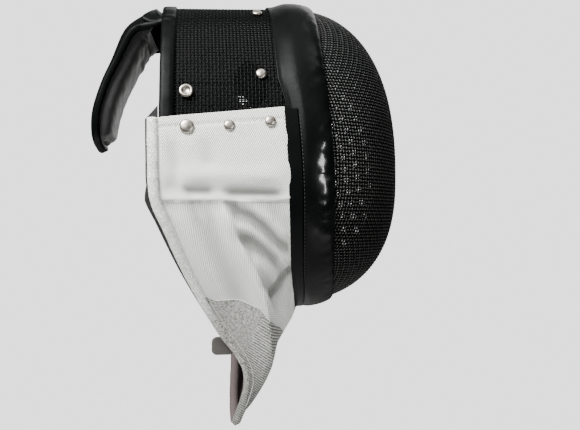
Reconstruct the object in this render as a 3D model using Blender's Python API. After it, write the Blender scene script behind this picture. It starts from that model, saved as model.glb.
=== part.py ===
"""Fencing mask: a woven wire face and crown joined by a padded vinyl band, a cloth bib that
hangs from the band and the sides, and a bent padded tongue behind the head.

Blender's frame, +Z up. The face looks along -Y, the wearer's right side is at -X and the
middle plane is X = 0. The origin is where the top of the head meets the crown's padding.
Lengths are worked out in millimetres and made metres once, in add_object. "fore" is the
distance in front of the origin (-Y), "up" the height above it and "half" the distance
from the middle plane. "Lift" is the distance outside the wire, along its normal.
"""
import math

import bmesh
import bpy
import numpy as np

MM = 0.001
RIGHT, LEFT = -1.0, 1.0

# The wire body: a barrel from the rear rim to FRONT_START, then a dome to the nose.
HALF_WIDTH = 105.0
MIDDLE_UP = -151.5       # height of the widest line
RISE = 166.3             # widest line to the crown
DROP = 121.0             # widest line to the chin
FRONT_START = 57.0
FRONT_DEPTH = 108.7     # FRONT_START to the foremost wire
PROFILE_POWER = 2.4      # squareness of the outline seen from the side
ACROSS_POWER = 1.95      # squareness of the sections seen from the front and the top
REAR_TAPER = 0.022       # how much narrower the barrel is at the rear rim
REAR_EDGE = -60.0        # fore of the cut rear edge of the crown mesh
MESH_WALL = 2.0          # two crossing wires
GAP = 0.5                # between pieces that touch on the real mask

# Angles go round the body as seen from the front: 0 is the wearer's right side,
# 90 the crown, 180 the left side and 270 the chin.
ANGLE_STEP = 7.5
CROWN_FIRST = -3.75      # lower edge of the crown mesh on the right
CROWN_LAST = 180.0 - CROWN_FIRST
DOME_RINGS = np.array([0.0, 10.0, 20.0, 31.0, 42.0, 53.0, 64.0, 75.0, 83.0])

# The band over the joint of face and crown: fore of its centre line by height.
BAND_CENTRE = np.array([
    # up,     fore
    (-278.0, 83.0),
    (-257.0, 77.0),
    (-229.0, 71.0),
    (-191.0, 68.5),
    (-154.0, 67.0),
    (-117.0, 65.0),
    (-78.0, 62.5),
    (-45.0, 60.5),
    (20.0, 60.0),
])
BAND_HALF = 17.5
BAND_FLANGE = 1.8        # lift of the flat rear part
BAND_ROLL = 5.6          # lift of the padded roll
BAND_UNDER = np.array([1.0, 0.4, -0.3, -1.0])
BAND_OVER = np.array([-1.0, -0.78, -0.45, -0.1, 0.2, 0.45, 0.7, 0.9, 1.0])

RIM_LEG = 10.5           # length of the rear rim's folded vinyl on the wire
RIM_SKIN = 1.3

CLOTH = 2.0
BIB_LIFT = 2.5           # underside of the bib, which lies over the rim's vinyl
SEAM_ANGLE = -11.25      # the stitched seam below which the bib hangs free
TOP_ANGLE = 18.75        # the bib's upper edge
BINDING_RADIUS = 3.4

# Centre line of the rolled binding, from the tip up to the rear corner. On the wearer's
# right it swings forward near the tip.
BINDING_PATH = np.array([
    # fore right, fore left, up,     half
    (6.5, 6.0, -390.0, 0.5),
    (8.0, 5.2, -386.0, 3.5),
    (13.8, 5.0, -368.0, 11.0),
    (17.0, 6.0, -350.0, 19.0),
    (15.0, 7.0, -332.0, 28.0),
    (5.5, 5.5, -313.0, 38.5),
    (-6.0, -6.0, -297.0, 47.5),
    (-23.5, -23.5, -267.0, 63.0),
    (-41.0, -41.0, -232.0, 82.0),
    (-56.0, -56.0, -197.0, 97.5),
    (-64.5, -64.5, -177.0, 104.5),
    (-66.8, -66.8, -160.0, 107.0),
    (-67.2, -67.2, -138.0, 107.0),
    (-67.8, -67.8, -108.0, 102.5),
])
BINDING_SEAM_UP = -177.0  # where the bib's seam meets the binding
BINDING_POINTS = 29       # on each side

# The bib's front line in the middle plane, from the chin to the tip.
KEEL = np.array([
    # fore,  up
    (64.5, -281.0),
    (61.5, -291.0),
    (50.0, -307.5),
    (40.5, -323.0),
    (36.5, -340.0),
    (31.0, -358.0),
    (20.0, -376.5),
    (6.0, -390.0),
])

# Rows of the bib run from the band (along 0) to the binding (along 1). Row 0 is the keel,
# row 1 the seam and row 2 the upper edge.
BIB_ROWS = np.array([0.0, 0.05, 0.1, 0.15, 0.2, 0.26, 0.32, 0.38, 0.44, 0.52, 0.6, 0.66,
                     0.72, 0.8, 0.9, 1.0, 1.17, 1.4, 1.7, 2.0])
BIB_COLUMNS = 12
TIP_COLUMNS = 7

# The fold down the side of the bib: where its ridge crosses each row and how far it stands.
RIDGE = np.array([
    # row,  along, height
    (0.00, 0.42, 0.0),
    (0.05, 0.46, 12.0),
    (0.10, 0.52, 22.0),
    (0.20, 0.61, 34.0),
    (0.26, 0.61, 36.0),
    (0.32, 0.57, 35.0),
    (0.44, 0.44, 30.0),
    (0.52, 0.405, 25.0),
    (0.60, 0.40, 21.0),
    (0.80, 0.47, 11.0),
    (1.00, 0.55, 2.5),
])
RIDGE_START = 0.08       # the first part of each row lies flat under the edge strip
RIDGE_FRONT_POWER = 1.35  # above 1, the front of the fold is hollow
RIDGE_BACK_POWER = 2.2    # above 1, the back of the fold is rounded


# From the cloth's edge to the binding's centre line.
BIB_CLEAR = np.array([
    # row, distance
    (0.0, 6.5),
    (0.1, 6.0),
    (0.2, 4.9),
])

# Where the conductive tip starts on each row.
TIP_EDGE = np.array([
    # row,  along
    (0.00, 0.20),
    (0.10, 0.225),
    (0.20, 0.27),
    (0.32, 0.355),
    (0.44, 0.465),
    (0.52, 0.490),
    (0.60, 0.66),
    (0.66, 0.96),
])
TIP_ROWS = np.append(BIB_ROWS[BIB_ROWS <= 0.6], 0.64)
TIP_GAP = 0.005          # half the gap between bib and tip, as a share of a row

STRIP_WALL = 1.0
STRIP_ROWS = BIB_ROWS[BIB_ROWS >= 0.1]

LINING_WALL = 1.4
LINING_INSET = 5.8       # outer face of the bib to the outer face of the lining
LINING_ROWS = BIB_ROWS[BIB_ROWS >= 0.4]
LINING_REACH = 1.045     # past the binding's centre line
LINING_RISE = 12.0       # how far its corner stands above the bib at the rim

# Padding inside the wire. The opening for the ear is half in the crown's padding and half
# in the side pad.
CROWN_PAD_WALL = 12.0    # puts its underside at the origin
PAD_WALL = 6.0
PAD_GAP = 0.9
EAR_FORE, EAR_UP = 15.5, -74.5
EAR_HALF_FORE, EAR_HALF_UP = 13.3, 20.0
PAD_REAR = -48.5
PAD_FRONT = np.array([
    # up,     fore
    (-160.0, 66.0),
    (-118.0, 72.0),
    (-98.0, 88.0),
    (-74.5, 91.0),
    (-60.0, 88.0),
    (-45.0, 83.0),
    (12.0, 84.0),
])
CHIN_REAR = 62.0
CHIN_FRONT = np.array([
    # angle from the chin, fore
    (0.0, 134.0),
    (40.0, 117.0),
    (53.0, 101.0),
    (67.0, 78.0),
])

# Outer face of the tongue in the middle plane, from inside the rim to the tip. "drop" is
# how far the face falls away at TONGUE_DROP_AT from the middle.
TONGUE_PATH = np.array([
    # fore,   up,   half, thick, drop
    (-51.5, 6.2, 38.0, 3.0, 15.5),
    (-62.0, 6.8, 42.0, 4.0, 15.0),
    (-68.5, 10.2, 50.0, 8.0, 13.5),
    (-78.0, 5.0, 50.0, 10.0, 12.0),
    (-87.0, -1.0, 49.0, 11.0, 10.0),
    (-95.5, -8.5, 46.0, 11.0, 8.0),
    (-102.3, -20.0, 44.0, 10.5, 6.0),
    (-110.5, -43.0, 41.0, 9.5, 4.0),
    (-117.8, -60.5, 40.0, 9.0, 3.0),
    (-124.5, -79.5, 40.0, 9.0, 3.0),
    (-128.0, -94.5, 39.0, 9.0, 3.0),
    (-128.5, -109.0, 36.0, 9.0, 3.0),
    (-127.0, -119.0, 30.0, 9.0, 3.0),
    (-123.0, -127.0, 15.0, 8.0, 2.0),
])
TONGUE_DROP_AT = 40.0
TONGUE_ROWS = 20
TONGUE_SIDES = 16
TONGUE_ROUND = 0.5       # squareness of its section, 1 being an ellipse

# The grey cushion on the tongue's inner face, by share of the tongue's length.
CUSHION = np.array([
    # share, thickness
    (0.20, 1.5),
    (0.24, 9.0),
    (0.34, 15.5),
    (0.48, 14.0),
    (0.62, 13.5),
    (0.80, 13.0),
    (0.90, 10.0),
    (0.95, 3.0),
])
CUSHION_ACROSS = np.array([-0.84, -0.6186, 0.0, 0.6186, 0.84, 0.78, 0.5, 0.0, -0.5, -0.78])
CUSHION_BULGE = np.array([0.0, 0.0, 0.0, 0.0, 0.0, 0.5, 0.9, 1.0, 0.9, 0.5])
CUSHION_ROWS = 15

# Rivets, on both sides of the mask, turned from one profile.
RIVET_BODY = np.array([
    # share of the radius, share of the height
    (1.0, 0.0),
    (0.92, 0.65),
    (0.5, 1.0),
])
RIVET_HEIGHT = 2.8
RIVET_SIDES = 8
LARGE_RIVET, SMALL_RIVET = 6.1, 4.8
RIVETS = {
    # name: (fore, up, radius, lift)
    "rear": (-39.5, -83.5, LARGE_RIVET, GAP),
    "side": (24.0, -66.5, SMALL_RIVET, GAP),
    "top": (24.5, -1.0, SMALL_RIVET, GAP),
    "bib_rear": (-38.5, -115.5, LARGE_RIVET, BIB_LIFT + CLOTH + GAP),
    "bib_middle": (-4.0, -114.0, SMALL_RIVET, BIB_LIFT + CLOTH + GAP),
    "bib_front": (30.0, -110.0, SMALL_RIVET, BIB_LIFT + CLOTH + GAP),
}

# The small tab inside the right half of the bib: its middle, size and corner radius.
TAB_FORE, TAB_UP, TAB_HALF = -6.5, -309.0, 34.3
TAB_LENGTH, TAB_HEIGHT, TAB_WALL = 21.0, 17.0, 2.0
TAB_CORNER = 5.0


def table(rows, x, column=1):
    """Reads a column of a table at x of its first column, on straight lines between rows."""
    return np.interp(x, rows[:, 0], rows[:, column])


def smooth_path(points, count):
    """Runs a Catmull-Rom curve through the points and reads it at count even steps."""
    padded = np.vstack([2 * points[0] - points[1], points, 2 * points[-1] - points[-2]])
    steps = np.linspace(0.0, 1.0, 12, endpoint=False)[:, None]
    parts = []
    for a, b, c, d in zip(padded[:-3], padded[1:-2], padded[2:-1], padded[3:]):
        bend = (2 * a - 5 * b + 4 * c - d) * steps ** 2 + (3 * b - a - 3 * c + d) * steps ** 3
        parts.append(0.5 * (2 * b + (c - a) * steps + bend))
    curve = np.vstack(parts + [points[-1:]])
    moves = np.linalg.norm(np.diff(curve[:, :3], axis=0), axis=1)
    length = np.concatenate([[0.0], np.cumsum(moves)])
    at = np.linspace(0.0, length[-1], count)
    return np.column_stack([np.interp(at, length, column) for column in curve.T])


def along_path(path, share):
    """The path's points at shares of its length, the path being evenly stepped."""
    steps = np.linspace(0.0, 1.0, len(path))
    return np.stack([np.interp(share, steps, column) for column in path.T], axis=-1)


def body_point(fore, angle, lift=0.0):
    """A point on the wire body at a fore and an angle, raised by lift along the normal.

    A section across the body at one fore is the curve where
    |half / HALF_WIDTH| ^ ACROSS_POWER + profile ^ ACROSS_POWER = 1, the profile being the
    PROFILE_POWER sum of the height and of the distance into the dome."""
    fore, angle, lift = np.broadcast_arrays(
        np.asarray(fore, float), np.asarray(angle, float), np.asarray(lift, float))
    turn = np.radians(angle)
    cosine, sine = np.cos(turn), np.sin(turn)
    ahead = np.clip((fore - FRONT_START) / FRONT_DEPTH, 0.0, 1.0)
    low, high = np.zeros_like(turn), np.full_like(turn, 1.5)
    for _ in range(40):
        middle = (low + high) / 2
        profile = ahead ** PROFILE_POWER + np.abs(middle * sine) ** PROFILE_POWER
        inside = (np.abs(middle * cosine) ** ACROSS_POWER
                  + profile ** (ACROSS_POWER / PROFILE_POWER)) < 1.0
        low, high = np.where(inside, middle, low), np.where(inside, high, middle)
    behind = np.clip((FRONT_START - fore) / (FRONT_START - REAR_EDGE), 0.0, 1.1)
    taper = 1.0 - REAR_TAPER * behind
    reach = np.where(sine > 0, RISE, DROP)
    across, rise = low * cosine, low * sine
    profile = (ahead ** PROFILE_POWER + np.abs(rise) ** PROFILE_POWER) ** (1 / PROFILE_POWER)
    steep = np.maximum(profile, 1e-6) ** (ACROSS_POWER - PROFILE_POWER)
    normal = np.stack([
        -np.sign(across) * np.abs(across) ** (ACROSS_POWER - 1) / HALF_WIDTH,
        -steep * ahead ** (PROFILE_POWER - 1) / FRONT_DEPTH,
        steep * np.sign(rise) * np.abs(rise) ** (PROFILE_POWER - 1) / reach,
    ], axis=-1)
    normal /= np.linalg.norm(normal, axis=-1, keepdims=True)
    point = np.stack([-HALF_WIDTH * taper * across, -fore,
                      MIDDLE_UP + reach * taper * rise], axis=-1)
    return point + normal * lift[..., None]


def angle_at(up, fore=0.0):
    """The angle of the right side's points at some heights, at one fore."""
    angles = np.linspace(-60.0, 89.9, 600)
    return np.interp(up, body_point(fore, angles)[:, 2], angles)


def ring_angles(first, last):
    """Evenly spaced angles from first to last, ANGLE_STEP apart."""
    return np.linspace(first, last, round((last - first) / ANGLE_STEP) + 1)


def paint(name, colour, roughness, metallic=0.0):
    """A plain material with the colour, roughness and metallic value of the real finish."""
    made = bpy.data.materials.new(name)
    made.use_nodes = True
    shader = made.node_tree.nodes["Principled BSDF"]
    shader.inputs["Base Color"].default_value = (*colour, 1.0)
    shader.inputs["Roughness"].default_value = roughness
    shader.inputs["Metallic"].default_value = metallic
    return made


def add_object(name, points, faces, material, wall=0.0, outward=False):
    """Makes a mesh object from points in millimetres. An open surface is given a wall on
    its inner side, or on its outer side."""
    mesh = bpy.data.meshes.new(name)
    mesh.from_pydata((np.asarray(points).reshape(-1, 3) * MM).tolist(), [], faces)
    made = bpy.data.objects.new(name, mesh)
    bpy.context.scene.collection.objects.link(made)
    mesh.materials.append(material)
    if wall:
        thick = made.modifiers.new("wall", "SOLIDIFY")
        thick.thickness = wall * MM
        thick.offset = 1.0 if outward else -1.0
    else:
        shape = bmesh.new()
        shape.from_mesh(mesh)
        bmesh.ops.recalc_face_normals(shape, faces=shape.faces)
        shape.to_mesh(mesh)
        shape.free()
    mesh.shade_smooth()
    mesh.set_sharp_from_angle(angle=math.radians(45.0))


def grid_faces(rows, columns, closed=False):
    """Quads of a grid of rows by columns, whose columns may close into a ring. They face
    the side from which the next column lies to the right of the next row."""
    across = columns if closed else columns - 1
    return [(i * columns + j, i * columns + (j + 1) % columns,
             (i + 1) * columns + (j + 1) % columns, (i + 1) * columns + j)
            for i in range(rows - 1) for j in range(across)]


def loft_faces(rows, columns, closed_rows=False):
    """Quads of a tube whose columns ring it, with flat ends unless its rows close too."""
    faces = grid_faces(rows, columns, closed=True)
    last = (rows - 1) * columns
    if closed_rows:
        return faces + [(last + j, last + (j + 1) % columns, (j + 1) % columns, j)
                        for j in range(columns)]
    return faces + [tuple(range(columns))[::-1], tuple(last + j for j in range(columns))]


def make_crown_mesh(material):
    """The barrel of woven wire over the head, from the rear edge to the band's middle."""
    angles = ring_angles(CROWN_FIRST, CROWN_LAST)[:, None]
    front = band_fore(angles) - GAP / 2
    fore = REAR_EDGE + (front - REAR_EDGE) * np.linspace(0.0, 1.0, 6)
    points = body_point(fore, angles)
    add_object("crown_mesh", points, grid_faces(*fore.shape), material, wall=MESH_WALL)


def make_face_mesh(material):
    """The woven wire dome in front of the face, from the band's middle to the nose."""
    angles = ring_angles(CROWN_FIRST, 360.0 + CROWN_FIRST)[:0:-1]
    start = band_fore(angles) + GAP / 2
    nose = FRONT_START + FRONT_DEPTH
    fore = start + (nose - start) * np.sin(np.radians(DOME_RINGS))[:, None]
    points = body_point(fore, angles).reshape(-1, 3)
    rings, count = fore.shape
    last = (rings - 1) * count
    faces = grid_faces(rings, count, closed=True)
    faces += [(last + j, last + (j + 1) % count, rings * count) for j in range(count)]
    points = np.vstack([points, (0.0, -nose, MIDDLE_UP)])
    add_object("face_mesh", points, faces, material, wall=MESH_WALL)


def band_fore(angle, across=0.0):
    """Fore of the band at an angle, "across" being -1 at its rear edge and 1 at its front."""
    up = body_point(table(BAND_CENTRE, MIDDLE_UP), angle)[..., 2]
    return table(BAND_CENTRE, up) + across * BAND_HALF


def band_lift(across, angle):
    """Height of the band above the wire: a flat rear flange, and a roll whose crest moves
    from the band's middle at the crown to its front half at the sides."""
    sideways = np.clip(np.abs(np.cos(np.radians(angle))) * 1.3, 0.0, 1.0)
    crest = -0.05 + 0.45 * sideways
    reach = np.where(across < crest, crest + 1.27, 1.02 - crest)
    roll = np.sqrt(1.0 - np.clip((across - crest) / reach, -1.0, 1.0) ** 2)
    return BAND_FLANGE + (BAND_ROLL - BAND_FLANGE) * roll * (across > -0.8)


def make_front_band(material):
    """The padded vinyl band, a closed ring whose section is flat behind and rolled in front."""
    angles = ring_angles(CROWN_FIRST, 360.0 + CROWN_FIRST)[:-1, None]
    across = np.concatenate([BAND_UNDER, BAND_OVER])
    under = np.full((len(angles), len(BAND_UNDER)), GAP)
    lift = np.concatenate([under, band_lift(BAND_OVER, angles)], axis=1)
    points = body_point(band_fore(angles, across), angles, lift)
    faces = loft_faces(len(angles), len(across), closed_rows=True)
    add_object("front_band", points, faces, material)


def make_rear_rim(material):
    """Vinyl folded over the crown mesh's rear edge: a channel section carried round it."""
    angles = ring_angles(CROWN_FIRST, CROWN_LAST)[:, None]
    outer, inner = GAP, -MESH_WALL - GAP
    section = np.array([
        # fore from the cut edge, lift
        (RIM_LEG, outer),
        (RIM_LEG, outer + RIM_SKIN),
        (-0.3, outer + RIM_SKIN),
        (-GAP - RIM_SKIN, outer),
        (-GAP - RIM_SKIN, inner),
        (-0.3, inner - RIM_SKIN),
        (RIM_LEG, inner - RIM_SKIN),
        (RIM_LEG, inner),
        (-GAP, inner),
        (-GAP, outer),
    ])
    points = body_point(REAR_EDGE + section[:, 0], angles, section[:, 1])
    add_object("rear_rim", points, loft_faces(len(angles), len(section)), material)


def ear_edge(fore):
    """How far the edge of the padding steps back round the ear opening."""
    inside = 1.0 - np.clip((fore - EAR_FORE) / EAR_HALF_FORE, -1.0, 1.0) ** 2
    return EAR_HALF_UP * np.sqrt(inside)


def pad_fores(front):
    """Shares of the padding's length, closer together at the ear opening."""
    ear = EAR_FORE + EAR_HALF_FORE * np.array([-1.02, -0.96, -0.6, 0.0, 0.6, 0.96, 1.02])
    return np.concatenate([[PAD_REAR, -18.0], ear, [60.0, front]])


def make_crown_padding(material):
    """The padding over the head, down to the middle of the ear opening on each side."""
    lift = -MESH_WALL - PAD_GAP
    rows = []
    for share in np.linspace(-1.0, 1.0, 17):
        fores = pad_fores(table(PAD_FRONT, EAR_UP * abs(share) ** 8))
        edge = angle_at(EAR_UP + GAP / 2 + ear_edge(fores))
        rows.append(body_point(fores, 90.0 + share * (90.0 - edge), lift))
    points = np.array(rows)
    add_object("crown_padding", points, grid_faces(*points.shape[:2]), material,
               wall=CROWN_PAD_WALL)


def make_side_pad(side, material):
    """The pad beside the jaw, from the middle of the ear opening down to the seam."""
    lift = -MESH_WALL - PAD_GAP
    rows = []
    for share in np.linspace(0.0, 1.0, 7):
        up = EAR_UP + (body_point(0.0, CROWN_FIRST)[2] - EAR_UP) * share
        fores = pad_fores(table(PAD_FRONT, up))
        top = angle_at(EAR_UP - GAP / 2 - ear_edge(fores))
        rows.append(body_point(fores, top + (CROWN_FIRST - top) * share, lift))
    points = np.array(rows) * (-side, 1.0, 1.0)
    points = points[::-1] if side == RIGHT else points
    name = "side_pad_right" if side == RIGHT else "side_pad_left"
    add_object(name, points, grid_faces(*points.shape[:2]), material, wall=PAD_WALL)


def make_chin_pad(material):
    """The pad that shows through the lower face mesh, a crescent inside the chin."""
    reach = CHIN_FRONT[-1, 0]
    angles = 270.0 + np.linspace(-reach, reach, 17)[:, None]
    front = table(CHIN_FRONT, np.abs(angles - 270.0))
    fore = CHIN_REAR + (front - CHIN_REAR) * np.linspace(0.0, 1.0, 6)
    points = body_point(fore, angles, -MESH_WALL - PAD_GAP)
    add_object("chin_pad", points, grid_faces(*fore.shape), material, wall=PAD_WALL)


def binding_line(side):
    """The binding's centre line from the tip to a rear corner."""
    column = 0 if side == RIGHT else 1
    return smooth_path(BINDING_PATH[:, [3, column, 2]] * (side, -1.0, 1.0), BINDING_POINTS)


def bib_surface(row, along, side):
    """Outer face of one half of the bib. A row is a straight line from the band to the
    binding, bowed towards the keel low down, pushed out by the fold, and above the seam
    laid on the crown mesh."""
    row, along = np.broadcast_arrays(np.asarray(row, float), np.asarray(along, float))
    lower, upper = np.clip(row, 0.0, 1.0), np.clip(row - 1.0, 0.0, 1.0)
    angle = -90.0 + (SEAM_ANGLE + 90.0) * lower + (TOP_ANGLE - SEAM_ANGLE) * upper
    lift = BIB_LIFT + CLOTH
    start = body_point(band_fore(angle, -1.0) - GAP, angle, lift) * (-side, 1.0, 1.0)
    line = binding_line(side)
    seam = np.interp(BINDING_SEAM_UP, line[:, 2], np.linspace(0.0, 1.0, len(line)))
    end = along_path(line, seam * lower ** 1.15 + (1.0 - seam) * upper)
    points = start + (end - start) * along[..., None]

    keel = along_path(smooth_path(KEEL, 60), along)
    keel = np.stack([np.zeros_like(along), -keel[..., 0], keel[..., 1]], axis=-1)
    chin = body_point(band_fore(-90.0, -1.0) - GAP, -90.0, lift)
    bow = keel - chin - (line[0] - chin) * along[..., None]
    points += bow * ((1.0 - lower) ** 3)[..., None] * (0.0, 1.0, 1.0)

    crest, height = table(RIDGE, lower, 1), table(RIDGE, lower, 2) * (1.0 - upper)
    front = np.clip((along - RIDGE_START) / (crest - RIDGE_START), 0.0, 1.0)
    back = np.clip((along - crest) / (1.0 - crest), 0.0, 1.0)
    fold = np.where(along < crest, front ** RIDGE_FRONT_POWER, 1.0 - back ** RIDGE_BACK_POWER)
    points[..., 0] += side * height * fold

    on_crown = body_point(-points[..., 1], angle_at(points[..., 2]), lift) * (-side, 1.0, 1.0)
    laid = np.clip(upper * 6.0, 0.0, 1.0)[..., None]
    return points * (1.0 - laid) + on_crown * laid


def row_end(rows, side):
    """How far along each row the cloth may run before it meets the binding."""
    along = np.linspace(0.8, 1.0, 201)
    fine = np.linspace(0.0, 1.0, 400)
    lines = np.concatenate([along_path(binding_line(s), fine) for s in (RIGHT, LEFT)])
    points = bib_surface(rows[:, None], along, side)
    nearest = np.array([[np.linalg.norm(lines - p, axis=1).min() for p in row] for row in points])
    return along[np.argmax(nearest < table(BIB_CLEAR, rows)[:, None], axis=1)]


def cloth_grid(rows, columns, start, stop):
    """A grid of the bib from one upper edge round the keel to the other, between two
    functions of row and side that give where the cloth starts and stops along each row."""
    share = np.linspace(0.0, 1.0, columns)
    halves = []
    for side, part in ((RIGHT, rows[::-1]), (LEFT, rows[1:])):
        first, last = start(part, side)[:, None], stop(part, side)[:, None]
        halves.append(bib_surface(part[:, None], first + (last - first) * share, side))
    halves[0][-1, :, 0] = 0.0
    return np.concatenate(halves)


def make_bib(white, grey):
    """The white cloth bib and its grey conductive tip, which meet at a curved seam."""
    def seam_front(row, side):
        return np.where(row < TIP_EDGE[-1, 0], table(TIP_EDGE, row) - TIP_GAP, row_end(row, side))

    def seam_back(row, side):
        return table(TIP_EDGE, row) + TIP_GAP

    points = cloth_grid(BIB_ROWS, BIB_COLUMNS, lambda row, side: row * 0.0, seam_front)
    add_object("bib", points, grid_faces(*points.shape[:2]), white, wall=CLOTH)
    points = cloth_grid(TIP_ROWS, TIP_COLUMNS, seam_back, row_end)
    add_object("bib_tip", points, grid_faces(*points.shape[:2]), grey, wall=CLOTH)


def make_binding(material):
    """The rolled cloth binding along the bib's whole lower edge, as a beveled curve."""
    path = np.vstack([binding_line(RIGHT)[:0:-1], binding_line(LEFT)])
    path[BINDING_POINTS - 1, 0] = 0.0
    inward = np.minimum(np.abs(path[:, 0]), CLOTH / 2)
    path[:, 0] -= np.sign(path[:, 0]) * inward
    curve = bpy.data.curves.new("bib_binding", "CURVE")
    curve.dimensions = "3D"
    curve.bevel_depth = BINDING_RADIUS * MM
    curve.bevel_resolution = 2
    curve.use_fill_caps = True
    line = curve.splines.new("POLY")
    line.points.add(len(path) - 1)
    line.points.foreach_set("co", np.column_stack([path * MM, np.ones(len(path))]).ravel())
    made = bpy.data.objects.new("bib_binding", curve)
    bpy.context.scene.collection.objects.link(made)
    curve.materials.append(material)


def make_edge_strip(side, material):
    """The black stitched strip over the bib's front edge and the band's flange."""
    rows = STRIP_ROWS[:, None]
    lower, upper = np.clip(rows, 0.0, 1.0), np.clip(rows - 1.0, 0.0, 1.0)
    angle = -90.0 + (SEAM_ANGLE + 90.0) * lower + (TOP_ANGLE - SEAM_ANGLE) * upper
    over_cloth = bib_surface(rows, np.array([0.034, 0.017, 0.0]), RIGHT)
    outward = body_point(band_fore(angle), angle, GAP) - body_point(band_fore(angle), angle)
    across = np.array([-0.7, -0.58])
    lift = np.maximum(BIB_LIFT + CLOTH, band_lift(across, angle)) + GAP
    over_band = body_point(band_fore(angle, across), angle, lift)
    points = np.concatenate([over_cloth + outward, over_band], axis=1) * (-side, 1.0, 1.0)
    points = points if side == RIGHT else points[::-1]
    name = "bib_edge_strip_right" if side == RIGHT else "bib_edge_strip_left"
    add_object(name, points, grid_faces(*points.shape[:2]), material,
               wall=STRIP_WALL, outward=True)


def make_bib_lining(side, material):
    """The dark lining inside the bib's rear edge, which shows as a line behind the binding
    and as a corner above it."""
    rows = LINING_ROWS[:, None]
    beside_crown = np.clip((rows - 0.85) / 0.15, 0.0, 1.0)
    first = 0.80 + (0.972 - 0.80) * beside_crown
    along = first + (LINING_REACH - first) * np.linspace(0.0, 1.0, 4)
    points = bib_surface(rows, along, side)
    inward = np.cross(np.gradient(points, axis=1), np.gradient(points, axis=0)) * -side
    inset = np.interp(along, (0.8, 0.95), (CLOTH + 1.4, LINING_INSET))[..., None]
    points += inward / np.linalg.norm(inward, axis=-1, keepdims=True) * inset
    rise = LINING_RISE * np.array([(0.0, 0.0, 1.0), (0.0, 0.0, 0.7), (0.0, 0.0, 0.35), (0.0, 0.0, 0.1)])
    points = np.concatenate([points, points[-1:] + rise])
    points = points if side == LEFT else points[::-1]
    name = "bib_lining_right" if side == RIGHT else "bib_lining_left"
    add_object(name, points, grid_faces(*points.shape[:2]), material, wall=LINING_WALL)


def make_tab(material):
    """The small tab inside the bib, a rounded plate."""
    turns = np.radians(np.arange(0.0, 360.0, 30.0) + 15.0)
    centre_fore = np.sign(np.cos(turns)) * (TAB_LENGTH / 2 - TAB_CORNER)
    centre_up = np.sign(np.sin(turns)) * (TAB_HEIGHT / 2 - TAB_CORNER)
    fore = TAB_FORE + centre_fore + TAB_CORNER * np.cos(turns)
    up = TAB_UP + centre_up + TAB_CORNER * np.sin(turns)
    plate = [np.stack([np.full_like(fore, half), -fore, up], axis=-1)
             for half in (-TAB_HALF, -TAB_HALF + TAB_WALL)]
    add_object("bib_tab", np.array(plate), loft_faces(2, len(turns)), material)


def tongue_frame():
    """Rows of the tongue: points of its path, and the direction out of its outer face."""
    path = smooth_path(TONGUE_PATH, TONGUE_ROWS)
    heading = np.gradient(path[:, :2], axis=0)
    heading /= np.linalg.norm(heading, axis=1, keepdims=True)
    return path, np.column_stack([heading[:, 1], -heading[:, 0]])


def tongue_points(path, out, half, depth):
    """Points at distances from the middle and depths under the outer face."""
    depth = depth + path[:, 4:5] * (half / TONGUE_DROP_AT) ** 2
    return np.stack([half, -(path[:, :1] - out[:, :1] * depth),
                     path[:, 1:2] - out[:, 1:] * depth], axis=-1)


def make_tongue(black, grey):
    """The bent spring in its padded cover, and the cushion on the side of the head."""
    path, out = tongue_frame()
    turns = np.radians(np.arange(TONGUE_SIDES) * 360.0 / TONGUE_SIDES)
    wide = np.sign(np.cos(turns)) * np.abs(np.cos(turns)) ** TONGUE_ROUND
    deep = 0.5 - 0.5 * np.sign(np.sin(turns)) * np.abs(np.sin(turns)) ** TONGUE_ROUND
    points = tongue_points(path, out, path[:, 2:3] * wide, path[:, 3:4] * deep)
    add_object("tongue", points, loft_faces(*points.shape[:2]), black)

    share = np.linspace(CUSHION[0, 0], CUSHION[-1, 0], CUSHION_ROWS)
    rows, out = along_path(path, share), along_path(out, share)
    depth = rows[:, 3:4] + GAP + table(CUSHION, share)[:, None] * CUSHION_BULGE
    points = tongue_points(rows, out, rows[:, 2:3] * CUSHION_ACROSS, depth)
    add_object("tongue_lining", points, loft_faces(*points.shape[:2]), grey)


def make_rivet(name, fore, up, radius, lift, side, material):
    """A rivet's head, turned from RIVET_BODY and seated on the wire or the cloth."""
    angle = angle_at(up, fore)
    seat = body_point(fore, angle, lift)
    axis = body_point(fore, angle, lift + 1.0) - seat
    across = np.cross(axis, (0.0, 1.0, 0.0))
    across /= np.linalg.norm(across)
    level = np.cross(axis, across)
    turns = np.arange(RIVET_SIDES) * 2 * math.pi / RIVET_SIDES
    ring = np.cos(turns)[:, None] * across + np.sin(turns)[:, None] * level
    points = (seat + RIVET_BODY[:, 0, None, None] * radius * ring
              + RIVET_BODY[:, 1, None, None] * RIVET_HEIGHT * axis) * (-side, 1.0, 1.0)
    add_object(name, points, loft_faces(len(RIVET_BODY), RIVET_SIDES), material)


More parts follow.
